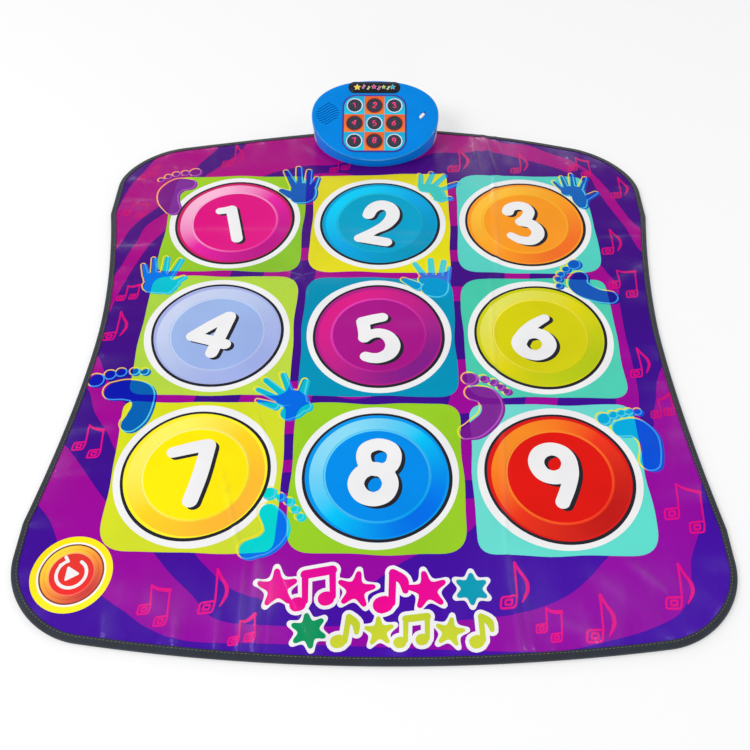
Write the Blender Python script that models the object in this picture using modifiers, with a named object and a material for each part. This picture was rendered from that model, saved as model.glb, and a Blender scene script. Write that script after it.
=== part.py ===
"""Musical floor game mat, in metres, +Z up.

The frame's origin lies on the floor under the middle touch pad. +X is the player's right, +Y points
to the control console at the rear edge. The mat is three panels joined by two fold lines, each a
stack of sheets, and the console sits over the middle of the rear edge.
"""

import math

import bmesh
import bpy
from mathutils import Matrix, Vector

# Gap that touching pieces keep
GAP = 0.0003

# Play field: squares of three rows and three columns, with a round pad printed in each. Its middle lies
# a little in front of the mat's origin
SQUARE = 0.209
SQUARE_GAP = 0.0113
FIELD_SETBACK = 0.0018
PAD_RADIUS = 0.065
START_RADIUS = 0.030
START_FROM_SIDE = 0.0716
START_FROM_FRONT = 0.0988

# Mat outline: a rounded rectangle with a drawn-in waist and bowed front and rear edges. Its left and right
# sides differ a little, as sewn edges do
MAT_LEFT_SHIFT = 0.0035
MAT_HALF_WIDTH = 0.4096
MAT_REAR = 0.4473
MAT_FRONT = 0.4524
CORNER_RADIUS = 0.0914
REAR_BOW_LEFT = 0.0732
REAR_BOW_RIGHT = 0.0803
REAR_POWER_LEFT = 1.2
REAR_POWER_RIGHT = 1.82
FRONT_BOW = 0.0347
FRONT_POWER = 2.0
WAIST_LEFT = 0.0294
WAIST_RIGHT = 0.0228
WAIST_REACH_REAR = 0.2344
WAIST_REACH_FRONT = 0.2905
WAIST_POWER = 1.73
LEFT_FOLD_DROP = 0.0005

# Sheets of the mat, from the floor up. The foam's thickness is how far a touch disc goes down
BACKING_THICKNESS = 0.0008
FILM_THICKNESS = 0.0003
FOAM_THICKNESS = 0.0020
COVER_THICKNESS = 0.0008
BINDING_WIDTH = 0.0086
BINDING_THICKNESS = 0.0008
PAD_CLEARANCE = 0.0003
FOAM_HOLE_CLEARANCE = 0.0010

# Console housing: an egg-shaped body tilted towards the player
CONSOLE_LEFT_SHIFT = 0.009
CONSOLE_OVERLAP = 0.0993
TILT = math.radians(22)
FACE_HALF_WIDTH = 0.1025
FACE_UPPER = 0.063
FACE_LOWER = 0.082
FACE_UPPER_POWER = 2.25
FRONT_WALL = 0.0200
SHELL_WALL = 0.0024
RIM_ROUND = 0.0030
REAR_SKIRT = 0.0070
SKIRT_END_TOP = -0.012
SKIRT_END_LOW = -0.022
BASE_WALL = 0.0022
BASE_TOP_DROP = 0.0040
FOOT_HEIGHT = 0.0012
FOOT_RADIUS = 0.005
FOOT_SPREAD = 0.084
FOOT_SETBACK = 0.0157
BODY_DEPTH = 0.120
CUT_PAST = 0.010

# Display: a printed panel with nine round windows
PANEL_U = -0.001
PANEL_V = -0.006
PANEL_SIZE = 0.103
PANEL_CORNER = 0.022
PANEL_THICKNESS = 0.0006
PANEL_RECESS = 0.0006
WINDOW_PITCH = 0.032
WINDOW_RADIUS = 0.0110
WINDOW_PROUD = 0.0006
LENS_PLATE_SIZE = 0.093
LENS_PLATE_CORNER = 0.006
LENS_PLATE_THICKNESS = 0.0018
LIGHT_BOX_DEPTH = 0.0069
LIGHT_HOLE_RADIUS = 0.0095
BOARD_WIDTH = 0.102
BOARD_LENGTH = 0.098
BOARD_CORNER = 0.012
BOARD_THICKNESS = 0.0016
LED_RADIUS = 0.0025
LED_HEIGHT = 0.0014
LED_SIDES = 8
POST_RADIUS = 0.0020
POST_MARGIN = 0.0005
POST_V = 0.040
BADGE_U = -0.0015
BADGE_V = 0.059
BADGE_LENGTH = 0.084
BADGE_WIDTH = 0.020

# Loudspeaker behind a grille of wavy slots
SPEAKER_U = -0.0765
SPEAKER_V = 0.0115
SPEAKER_RADIUS = 0.018
SPEAKER_FLANGE = 0.0012
SPEAKER_DEPTH = 0.0080
SPEAKER_THROAT = 0.0090
CONE_DIP = 0.0060
CONE_THICKNESS = 0.0006
MAGNET_RADIUS = 0.0110
MAGNET_DEPTH = 0.0050
CRADLE_WALL = 0.0012
CRADLE_DEPTH = 0.0045
GRILLE_RADIUS = 0.0195
GRILLE_SLOTS = 8
GRILLE_PITCH = 0.0047
GRILLE_SLOT_WIDTH = 0.0019
GRILLE_ANGLE = math.radians(24)
GRILLE_WAVE = 0.0017

# Power switch
SWITCH_U = 0.0768
SWITCH_V = 0.0091
SWITCH_ANGLE = math.radians(48)
SWITCH_TRAVEL = 0.0045
KNOB_LENGTH = 0.0110
KNOB_WIDTH = 0.0048
KNOB_CLEARANCE = 0.0004
KNOB_PROUD = 0.0018
SWITCH_BODY_LENGTH = 0.0200
SWITCH_BODY_WIDTH = 0.0090
SWITCH_BODY_DEPTH = 0.0060
SWITCH_WELL = 0.0020
SWITCH_SLOT = (KNOB_LENGTH + SWITCH_TRAVEL + 2 * KNOB_CLEARANCE, KNOB_WIDTH + 2 * KNOB_CLEARANCE)

# Battery bay: three AAA cells, reached by a screwed door underneath
CELL_RADIUS = 0.00525
CELL_LENGTH = 0.0445
CELL_PITCH = 0.0109
CELL_COUNT = 3
CELL_CAP_RADIUS = 0.0019
CELL_CAP = 0.0008
CONTACT_THICKNESS = 0.0005
CONTACT_SPRING = 0.0024
CONTACT_SPRING_RADIUS = 0.0030
BAY_WALL = 0.0016
BAY_SETBACK = 0.0026
DOOR_THICKNESS = 0.0020
DOOR_TONGUE = 0.0090
DOOR_CORNER = 0.0020
DOOR_SCREW_BLOCK = 0.0095

# Screws: (head radius, head height, shank radius)
SHELL_SCREW = (0.0026, 0.0016, 0.0012)
DOOR_SCREW = (0.0022, 0.0010, 0.0009)
CLAMP_SCREW = (0.0032, 0.0006, 0.0012)
SHELL_SCREW_LENGTH = 0.020
DOOR_SCREW_LENGTH = 0.0065
BOSS_RADIUS = 0.0040
STANDOFF_RADIUS = 0.0046
FRONT_BOSS = (0.066, -0.025, 0.022)
REAR_BOSS = (0.062, 0.040, 0.036)
SCREW_SEAT = 0.0110

# Clamp that holds the mat's edge to the console
CLAMP_LENGTH = 0.130
CLAMP_WIDTH = 0.030
CLAMP_CORNER = 0.006
CLAMP_SETBACK = 0.0620
CLAMP_SCREW_SPREAD = 0.050
CLAMP_BOSS_HEIGHT = 0.009

# Film tail from the contact films to the circuit board
TAIL_WIDTH = 0.031
TAIL_THICKNESS = 0.0003
TAIL_LENGTH_FLAT = 0.013
TAIL_V = 0.008
CONNECTOR_LENGTH = 0.036
CONNECTOR_WIDTH = 0.008
CONNECTOR_DEPTH = 0.0041
TAIL_SLOT = 0.0030

# Roundness of turned and curved forms
ROUND_STEPS = 24
WINDOW_STEPS = 16
SMALL_STEPS = 10
HOLE_STEPS = 12
OUTLINE_STEPS = 7
FACE_STEPS = 44
RIM_STEPS = 2
GRILLE_STEPS = 6

PITCH = SQUARE + SQUARE_GAP
START_X = START_FROM_SIDE - MAT_HALF_WIDTH - MAT_LEFT_SHIFT
START_Y = START_FROM_FRONT - MAT_FRONT

# The wings fold under a middle panel that is just as wide as the wider of them
FOLD_X = (MAT_HALF_WIDTH + MAT_LEFT_SHIFT) / 3 + GAP / 2

# Heights of the mat's sheets
BACKING_Z = (0.0, BACKING_THICKNESS)
LOWER_FILM_Z = (BACKING_Z[1] + GAP, BACKING_Z[1] + GAP + FILM_THICKNESS)
FOAM_Z = (LOWER_FILM_Z[1] + GAP, LOWER_FILM_Z[1] + GAP + FOAM_THICKNESS)
UPPER_FILM_Z = (FOAM_Z[1] + GAP, FOAM_Z[1] + GAP + FILM_THICKNESS)
COVER_Z = (UPPER_FILM_Z[1] + GAP, UPPER_FILM_Z[1] + GAP + COVER_THICKNESS)
MAT_TOP = COVER_Z[1]

# The right panel folds under the left one, so its axis lies lower by half the mat's thickness
RIGHT_FOLD_DROP = LEFT_FOLD_DROP + (MAT_TOP + GAP) / 2


def new_collection(name):
    made = bpy.data.collections.new(name)
    bpy.context.scene.collection.children.link(made)
    return made


def new_material(name, colour, roughness, metallic=0.0, alpha=1.0):
    made = bpy.data.materials.new(name)
    made.use_nodes = True
    shader = made.node_tree.nodes["Principled BSDF"]
    shader.inputs["Base Color"].default_value = (*colour, 1.0)
    shader.inputs["Roughness"].default_value = roughness
    shader.inputs["Metallic"].default_value = metallic
    shader.inputs["Alpha"].default_value = alpha
    made.diffuse_color = (*colour, alpha)
    return made


for leftover in list(bpy.data.objects):
    bpy.data.objects.remove(leftover)

PARTS = new_collection("musical_floor_mat")
CUTTERS = new_collection("cutters")


def rectangle(low_x, low_y, high_x, high_y):
    return [(low_x, low_y), (high_x, low_y), (high_x, high_y), (low_x, high_y)]


def circle(x, y, radius, steps=ROUND_STEPS):
    turn = 2 * math.pi / steps
    return [(x + radius * math.cos(i * turn), y + radius * math.sin(i * turn)) for i in range(steps)]


def rounded_rectangle(x, y, width, length, radius, steps=4):
    points = []
    for quarter, (sx, sy) in enumerate(((1, 1), (-1, 1), (-1, -1), (1, -1))):
        cx = x + sx * (width / 2 - radius)
        cy = y + sy * (length / 2 - radius)
        for i in range(steps + 1):
            angle = math.pi / 2 * (quarter + i / steps)
            points.append((cx + radius * math.cos(angle), cy + radius * math.sin(angle)))
    return points


def capsule(x, y, length, width, angle=0.0, steps=6):
    """A slot with round ends, its long axis at this angle."""
    reach = (length - width) / 2
    points = []
    for side in (0, 1):
        for i in range(steps + 1):
            turn = math.pi * (side + i / steps) - math.pi / 2
            points.append(((1, -1)[side] * reach + width / 2 * math.cos(turn), width / 2 * math.sin(turn)))
    c, s = math.cos(angle), math.sin(angle)
    return [(x + a * c - b * s, y + a * s + b * c) for a, b in points]


def inset(points, distance):
    """A closed anticlockwise outline moved inwards by this distance."""
    moved = []
    for i, (x, y) in enumerate(points):
        ax, ay = points[i - 1]
        bx, by = points[(i + 1) % len(points)]
        length = math.hypot(bx - ax, by - ay)
        moved.append((x - distance * (by - ay) / length, y + distance * (bx - ax) / length))
    return moved


def between(points, low, high):
    """The part of a closed outline between two lines of constant x."""
    for line, side in ((low, 1), (high, -1)):
        kept = []
        for (ax, ay), (bx, by) in zip(points, points[1:] + points[:1]):
            a_in, b_in = side * (ax - line) >= 0, side * (bx - line) >= 0
            if a_in:
                kept.append((ax, ay))
            if a_in != b_in:
                share = (line - ax) / (bx - ax)
                kept.append((line, ay + share * (by - ay)))
        points = kept
    return points


def waist_inset(x, y):
    depth = WAIST_RIGHT if x > 0 else WAIST_LEFT
    reach = WAIST_REACH_REAR if y > 0 else WAIST_REACH_FRONT
    return depth * max(0.0, 1 - (abs(y) / reach) ** WAIST_POWER)


def bow_inset(x, y):
    """How far the front or rear edge is drawn in at x by its bow."""
    share = abs(x / MAT_HALF_WIDTH)
    if y < 0:
        return FRONT_BOW * share ** FRONT_POWER
    return REAR_BOW_RIGHT * share ** REAR_POWER_RIGHT if x > 0 else REAR_BOW_LEFT * share ** REAR_POWER_LEFT


def mat_outline():
    """Anticlockwise, from the right-hand side: a rounded rectangle, then its bow and waist."""
    half_x, radius = MAT_HALF_WIDTH, CORNER_RADIUS
    plain = []
    for quarter, (sx, edge) in enumerate(((1, MAT_REAR), (-1, MAT_REAR), (-1, -MAT_FRONT), (1, -MAT_FRONT))):
        cx = sx * (half_x - radius)
        cy = edge - math.copysign(radius, edge)
        for i in range(OUTLINE_STEPS + 1):
            angle = math.pi / 2 * (quarter + i / OUTLINE_STEPS)
            plain.append((cx + radius * math.cos(angle), cy + radius * math.sin(angle)))
        if quarter % 2 == 0:
            run = 2 * (half_x - radius) / OUTLINE_STEPS
            plain += [(cx - sx * run * i, edge) for i in range(1, OUTLINE_STEPS)]
        else:
            next_y = (radius - MAT_FRONT) if quarter == 1 else (MAT_REAR - radius)
            plain += [(sx * half_x, cy + (next_y - cy) * i / OUTLINE_STEPS) for i in range(1, OUTLINE_STEPS)]
    shaped = []
    for x, y in plain:
        share = abs(y) / (MAT_REAR if y > 0 else MAT_FRONT)
        y -= math.copysign(bow_inset(x, y) * share, y)
        shaped.append((x - MAT_LEFT_SHIFT - waist_inset(x, y) * x / half_x, y))
    return shaped


def face_outline(distance=0.0, steps=FACE_STEPS):
    """The console's face, about the point halfway along it: an egg, squarer at the rear."""
    widest = (FACE_LOWER - FACE_UPPER) / 2
    points = []
    for i in range(steps):
        c, s = math.cos(2 * math.pi * i / steps), math.sin(2 * math.pi * i / steps)
        power = 2 / FACE_UPPER_POWER if s > 0 else 1.0
        u = math.copysign((FACE_HALF_WIDTH - distance) * abs(c) ** power, c)
        v = math.copysign(((FACE_UPPER if s > 0 else FACE_LOWER) - distance) * abs(s) ** power, s)
        points.append((u, widest + v))
    return points


def add(obj, collection, material=None, parent=None):
    collection.objects.link(obj)
    if material:
        obj.data.materials.append(material)
    obj.parent = parent
    return obj


def plate(name, outline, low, high, material=None, parent=None, holes=(), centre=(0, 0), collection=None):
    """A flat outline with holes, between two heights, as a mesh whose origin is at its centre."""
    curve = bpy.data.curves.new(name, "CURVE")
    curve.dimensions = "2D"
    curve.fill_mode = "BOTH"
    curve.extrude = (high - low) / 2
    for loop in (outline, *holes):
        spline = curve.splines.new("POLY")
        spline.points.add(len(loop) - 1)
        spline.use_cyclic_u = True
        for point, (x, y) in zip(spline.points, loop):
            point.co = (x - centre[0], y - centre[1], 0, 1)
    guide = bpy.data.objects.new(name + "_outline", curve)
    bpy.context.scene.collection.objects.link(guide)
    evaluated = guide.evaluated_get(bpy.context.evaluated_depsgraph_get())
    mesh = bpy.data.meshes.new_from_object(evaluated)
    bpy.data.objects.remove(guide)
    bpy.data.curves.remove(curve)
    mesh.transform(Matrix.Translation((0, 0, (low + high) / 2)))
    weld(mesh)
    made = bpy.data.objects.new(name, mesh)
    made.location = (*centre, 0)
    add(made, collection or PARTS, material, parent)
    return hide(made) if collection is CUTTERS else made


def weld(mesh):
    built = bmesh.new()
    built.from_mesh(mesh)
    bmesh.ops.remove_doubles(built, verts=built.verts, dist=1e-6)
    bmesh.ops.recalc_face_normals(built, faces=built.faces)
    built.to_mesh(mesh)
    built.free()


def hide(obj):
    obj.hide_render = True
    obj.display_type = "WIRE"
    return obj


def cutter(name, outline, low, high, parent=None, holes=()):
    return plate(name, outline, low, high, parent=parent, holes=holes, collection=CUTTERS)


def box_cutter(name, low, high, parent=None):
    return cutter(name, rectangle(*low[:2], *high[:2]), low[2], high[2], parent)


def boolean(target, *others, operation="DIFFERENCE"):
    for other in others:
        step = target.modifiers.new(other.name, "BOOLEAN")
        step.operation = operation
        step.object = other
        step.solver = "EXACT"
    return target


def join(target, *others):
    return boolean(target, *others, operation="UNION")


def turned(name, profile, material=None, parent=None, location=(0, 0, 0), steps=ROUND_STEPS,
           collection=None):
    """A closed profile of (radius, height) points, turned about Z. It runs down its outer side."""
    mesh = bpy.data.meshes.new(name)
    count = len(profile)
    closed = all(radius > 0 for radius, _ in profile)
    edges = [(i, i + 1) for i in range(count - 1)] + ([(count - 1, 0)] if closed else [])
    mesh.from_pydata([(radius, 0, height) for radius, height in profile], edges, [])
    made = bpy.data.objects.new(name, mesh)
    made.location = location
    add(made, collection or PARTS, material, parent)
    spin = made.modifiers.new("turn", "SCREW")
    spin.steps = spin.render_steps = steps
    spin.use_merge_vertices = True
    spin.merge_threshold = 1e-6
    spin.use_smooth_shade = True
    return hide(made) if collection is CUTTERS else made


def rod_profile(radius, low, high):
    return [(0, high), (radius, high), (radius, low), (0, low)]


def boss_profile(radius, bore, low, bore_top, high):
    """A post with a blind hole from its lower end."""
    return [(0, high), (radius, high), (radius, low), (bore, low), (bore, bore_top), (0, bore_top)]


def rod(name, radius, low, high, material, parent, location, steps=ROUND_STEPS):
    return turned(name, rod_profile(radius, low, high), material, parent, location, steps)


def rod_cutter(name, radius, low, high, parent, location):
    return turned(name, rod_profile(radius, low, high), None, parent, location, SMALL_STEPS, CUTTERS)


def screw(name, size, length, seat, material, parent, location, head_below=True):
    """A screw whose head's inner face is at height seat. Its shank points up when the head is below."""
    head_radius, head_height, shank_radius = size
    way = 1 if head_below else -1
    profile = [
        (0, seat + way * length),
        (shank_radius, seat + way * length),
        (shank_radius, seat),
        (head_radius, seat),
        (head_radius, seat - way * head_height),
        (0, seat - way * head_height),
    ]
    return turned(name, profile if head_below else profile[::-1], material, parent, location, SMALL_STEPS)


def screw_way(name, size, seat, low, high, parent, location):
    """A cutter for a screw that comes up from below: its shank's hole, and its head's below the seat."""
    head, shank = size[0] + GAP, size[2] + GAP
    profile = [(0, high), (shank, high), (shank, seat), (head, seat), (head, low), (0, low)]
    return turned(name, profile, None, parent, location, HOLE_STEPS, CUTTERS)


def empty(name, location, rotation=(0, 0, 0), parent=None):
    made = bpy.data.objects.new(name, None)
    made.empty_display_size = 0.02
    made.location = location
    made.rotation_euler = rotation
    PARTS.objects.link(made)
    made.parent = parent
    return made


MATERIALS = {
    "cover": new_material("printed_cover_vinyl", (0.24, 0.02, 0.32), 0.25),
    "film": new_material("contact_film", (0.75, 0.75, 0.72), 0.35),
    "foam": new_material("spacer_foam", (0.85, 0.85, 0.83), 0.9),
    "backing": new_material("backing_vinyl", (0.02, 0.02, 0.03), 0.6),
    "binding": new_material("edge_tape", (0.012, 0.014, 0.035), 0.55),
    "blue": new_material("console_blue", (0.0, 0.21, 0.68), 0.25),
    "pale": new_material("console_pale_grey", (0.72, 0.73, 0.76), 0.35),
    "panel": new_material("display_print", (0.02, 0.45, 0.70), 0.3),
    "badge": new_material("badge_black", (0.01, 0.012, 0.02), 0.25),
    "lens": new_material("window_smoke", (0.012, 0.02, 0.045), 0.15),
    "light_box": new_material("light_box_white", (0.85, 0.85, 0.85), 0.5),
    "board": new_material("circuit_board_green", (0.02, 0.18, 0.07), 0.5),
    "black": new_material("black_plastic", (0.02, 0.02, 0.02), 0.5),
    "paper": new_material("speaker_paper", (0.05, 0.05, 0.05), 0.9),
    "steel": new_material("steel", (0.55, 0.55, 0.55), 0.3, 1.0),
    "white": new_material("switch_white", (0.86, 0.87, 0.88), 0.3),
    "cell": new_material("battery_sleeve", (0.06, 0.22, 0.10), 0.35),
    "rubber": new_material("foot_rubber", (0.03, 0.03, 0.03), 0.85),
}

# Colours of the touch discs, in rows from the rear left
PAD_COLOURS = (
    (0.75, 0.01, 0.22),
    (0.01, 0.35, 0.58),
    (0.93, 0.30, 0.02),
    (0.33, 0.40, 0.80),
    (0.40, 0.01, 0.24),
    (0.67, 0.67, 0.01),
    (0.98, 0.82, 0.01),
    (0.01, 0.26, 0.87),
    (0.75, 0.02, 0.01),
)

# Places taken from the sizes above
CONSOLE_X = -CONSOLE_LEFT_SHIFT
CONSOLE_FOOT_Y = MAT_REAR - CONSOLE_OVERLAP
FACE_HALF_LENGTH = (FACE_UPPER + FACE_LOWER) / 2
FACE_Y = CONSOLE_FOOT_Y - FRONT_WALL * math.sin(TILT) + FACE_HALF_LENGTH * math.cos(TILT)
FACE_Z = MAT_TOP + FRONT_WALL * math.cos(TILT) + FACE_HALF_LENGTH * math.sin(TILT)
STEP_Y = MAT_REAR + 2 * GAP
BASE_FRONT_Z = MAT_TOP + GAP
BASE_REAR_Z = FOOT_HEIGHT + GAP
CLAMP_Y = CONSOLE_FOOT_Y + CLAMP_SETBACK - CLAMP_WIDTH / 2
TAIL_Y = CLAMP_Y + CLAMP_WIDTH / 2 + TAIL_LENGTH_FLAT + TAIL_SLOT
FAR = 0.5

# Depths below the face of the display's pieces
LENS_N = -SHELL_WALL - GAP
LIGHT_BOX_N = LENS_N - LENS_PLATE_THICKNESS - GAP
BOARD_N = LIGHT_BOX_N - LIGHT_BOX_DEPTH - GAP

PAD_CENTRES = [
    ((column - 1) * PITCH, (1 - row) * PITCH - FIELD_SETBACK) for row in range(3) for column in range(3)
]
CLAMP_HOLES = [(CONSOLE_X + side * CLAMP_SCREW_SPREAD, CLAMP_Y) for side in (-1, 1)]

left_axis = empty("left_fold_axis", (-FOLD_X, 0, -LEFT_FOLD_DROP))
right_axis = empty("right_fold_axis", (FOLD_X, 0, -RIGHT_FOLD_DROP))
console = empty("console_face_frame", (CONSOLE_X, FACE_Y, FACE_Z), (TILT, 0, 0))


def on_axis(obj, axis):
    """Parents a piece of a folding panel to its fold axis and leaves it where it is."""
    obj.parent = axis
    obj.matrix_parent_inverse = Matrix.Translation(-axis.location)
    return obj


# Mat panels

def panel_span(side):
    """The lines of constant x that bound a panel, with half the gap at each fold."""
    if side == 0:
        return -FOLD_X + GAP / 2, FOLD_X - GAP / 2
    return (FOLD_X + GAP / 2, FAR) if side > 0 else (-FAR, -FOLD_X - GAP / 2)


def pads_of(side):
    """(centre, radius) of each touch disc on the panel on this side."""
    column = [c for i, c in enumerate(PAD_CENTRES) if i % 3 == side + 1]
    found = [(centre, PAD_RADIUS) for centre in column]
    if side < 0:
        found.append(((START_X, START_Y), START_RADIUS))
    return found


def make_panel(side, name, axis):
    span = panel_span(side)
    rim = mat_outline()
    inner = between(inset(rim, BINDING_THICKNESS + GAP), *span)
    field = between(inset(rim, BINDING_WIDTH + GAP), *span)
    discs = [circle(*centre, radius + PAD_CLEARANCE) for centre, radius in pads_of(side)]
    wells = [circle(*centre, radius + FOAM_HOLE_CLEARANCE) for centre, radius in pads_of(side)]
    screw_holes, clamp_window, tail_window, tail_slot = [], [], [], []
    if side == 0:
        screw_holes = [circle(x, y, CLAMP_SCREW[2] + GAP, SMALL_STEPS) for x, y in CLAMP_HOLES]
        clamp_window = [clamp_outline(GAP)]
        tail_window = [tail_outline(GAP)]
        tail_slot = [tail_slot_outline()]
    sheets = (
        ("printed_cover", field, COVER_Z, "cover", discs + screw_holes + tail_slot),
        ("upper_film", inner, UPPER_FILM_Z, "film", discs + screw_holes + tail_window),
        ("spacer_foam", inner, FOAM_Z, "foam", wells + screw_holes),
        ("lower_film", inner, LOWER_FILM_Z, "film", clamp_window),
        ("backing_sheet", field, BACKING_Z, "backing", clamp_window),
    )
    for sheet, outline, (low, high), material, holes in sheets:
        made = plate(f"{name}_{sheet}", outline, low, high, MATERIALS[material], holes=holes)
        if axis:
            on_axis(made, axis)


def clamp_outline(grow=0.0):
    size = CLAMP_LENGTH + 2 * grow, CLAMP_WIDTH + 2 * grow
    return rounded_rectangle(CONSOLE_X, CLAMP_Y, *size, CLAMP_CORNER + grow)


def tail_outline(grow=0.0):
    """Where the tail lies flat in the upper film, and turns up at its rear."""
    front = TAIL_Y - TAIL_LENGTH_FLAT - grow
    rear = TAIL_Y + TAIL_THICKNESS + grow
    half = TAIL_WIDTH / 2 + grow
    return rectangle(CONSOLE_X - half, front, CONSOLE_X + half, rear)


def tail_slot_outline():
    return rounded_rectangle(CONSOLE_X, TAIL_Y, TAIL_WIDTH + 4 * GAP, TAIL_SLOT, TAIL_SLOT / 3, 2)


def make_binding(name, side, edge, axis):
    """Tape folded round the mat's edge. The middle panel has one piece at each end."""
    low, high = panel_span(side)
    rim = mat_outline()
    made = plate(name, between(rim, low, high), 0, MAT_TOP, MATERIALS["binding"])
    field = between(inset(rim, BINDING_WIDTH), low - GAP, high + GAP)
    groove = between(inset(rim, BINDING_THICKNESS), low - GAP, high + GAP)
    boolean(
        made,
        cutter(name + "_field", field, -CUT_PAST, CUT_PAST),
        cutter(name + "_groove", groove, BINDING_THICKNESS, MAT_TOP - BINDING_THICKNESS),
    )
    if side == 0:
        far_half = box_cutter(
            name + "_half", (-FAR, min(0, -edge * FAR), -CUT_PAST), (FAR, max(0, -edge * FAR), CUT_PAST)
        )
        boolean(made, far_half)
    if axis:
        on_axis(made, axis)


def make_pad(name, centre, radius, material, axis):
    """A touch disc: the part of the cover and its contact film that goes down underfoot."""
    made = plate(name, circle(*centre, radius), UPPER_FILM_Z[0], MAT_TOP, material, centre=centre)
    if axis:
        on_axis(made, axis)


def make_mat():
    for side, name, axis in ((-1, "left", left_axis), (0, "middle", None), (1, "right", right_axis)):
        make_panel(side, name, axis)
    make_binding("left_edge_binding", -1, 0, left_axis)
    make_binding("right_edge_binding", 1, 0, right_axis)
    make_binding("rear_edge_binding", 0, 1, None)
    make_binding("front_edge_binding", 0, -1, None)
    axes = (left_axis, None, right_axis)
    for i, centre in enumerate(PAD_CENTRES):
        colour = new_material(f"pad_{i + 1}_print", PAD_COLOURS[i], 0.25)
        make_pad(f"touch_pad_{i + 1}", centre, PAD_RADIUS, colour, axes[i % 3])
    red = new_material("start_pad_print", (0.72, 0.01, 0.02), 0.25)
    make_pad("start_pad", (START_X, START_Y), START_RADIUS, red, left_axis)


# Console housing

def window_circles(radius, steps=WINDOW_STEPS):
    places = (-WINDOW_PITCH, 0, WINDOW_PITCH)
    return [circle(PANEL_U + u, PANEL_V + v, radius, steps) for v in places for u in places]


def grille_slots():
    """Eight wavy slots across a round field, each a ribbon along a slanted wave."""
    c, s = math.cos(GRILLE_ANGLE), math.sin(GRILLE_ANGLE)
    loops = []
    for k in range(GRILLE_SLOTS):
        offset = (k - (GRILLE_SLOTS - 1) / 2) * GRILLE_PITCH
        reach = math.sqrt(GRILLE_RADIUS**2 - offset**2) - GRILLE_SLOT_WIDTH / 2
        line = []
        for i in range(GRILLE_STEPS + 1):
            t = -reach + 2 * reach * i / GRILLE_STEPS
            line.append((t, offset + GRILLE_WAVE * math.sin(math.pi * t / GRILLE_RADIUS)))
        half = GRILLE_SLOT_WIDTH / 2
        lower = [(a, b - half) for a, b in line]
        upper = [(a, b + half) for a, b in reversed(line)]
        right_end = [(line[-1][0] + half, line[-1][1])]
        left_end = [(line[0][0] - half, line[0][1])]
        loop = lower + right_end + upper + left_end
        loops.append([(SPEAKER_U + a * c - b * s, SPEAKER_V + a * s + b * c) for a, b in loop])
    return loops


def panel_outline(grow=0.0):
    size = PANEL_SIZE + 2 * grow
    return rounded_rectangle(PANEL_U, PANEL_V, size, size, PANEL_CORNER + grow)


def badge_outline(grow=0.0):
    return capsule(BADGE_U, BADGE_V, BADGE_LENGTH + 2 * grow, BADGE_WIDTH + 2 * grow)


def bosses():
    """(name, u, v, parting depth) of each place where a screw joins the base to the top shell."""
    for row, (u, v, parting) in (("front", FRONT_BOSS), ("rear", REAR_BOSS)):
        for side, label in ((-1, "left"), (1, "right")):
            yield f"{row}_{label}", side * u, v, parting


def posts():
    """Where the circuit board is carried, beside the lens moulding."""
    u = LENS_PLATE_SIZE / 2 + POST_RADIUS + POST_MARGIN
    return [(PANEL_U + side * u, PANEL_V + end * POST_V) for side in (-1, 1) for end in (-1, 1)]


def side_profile_cutter(name, outline, parent):
    """An outline of (v, n) points on the console's side, extruded across its width."""
    made = cutter(name, [(v, n) for v, n in outline], -FAR, FAR, parent)
    made.matrix_local = Matrix(((0, 0, 1, 0), (1, 0, 0, 0), (0, 1, 0, 0), (0, 0, 0, 1)))
    return made


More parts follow.
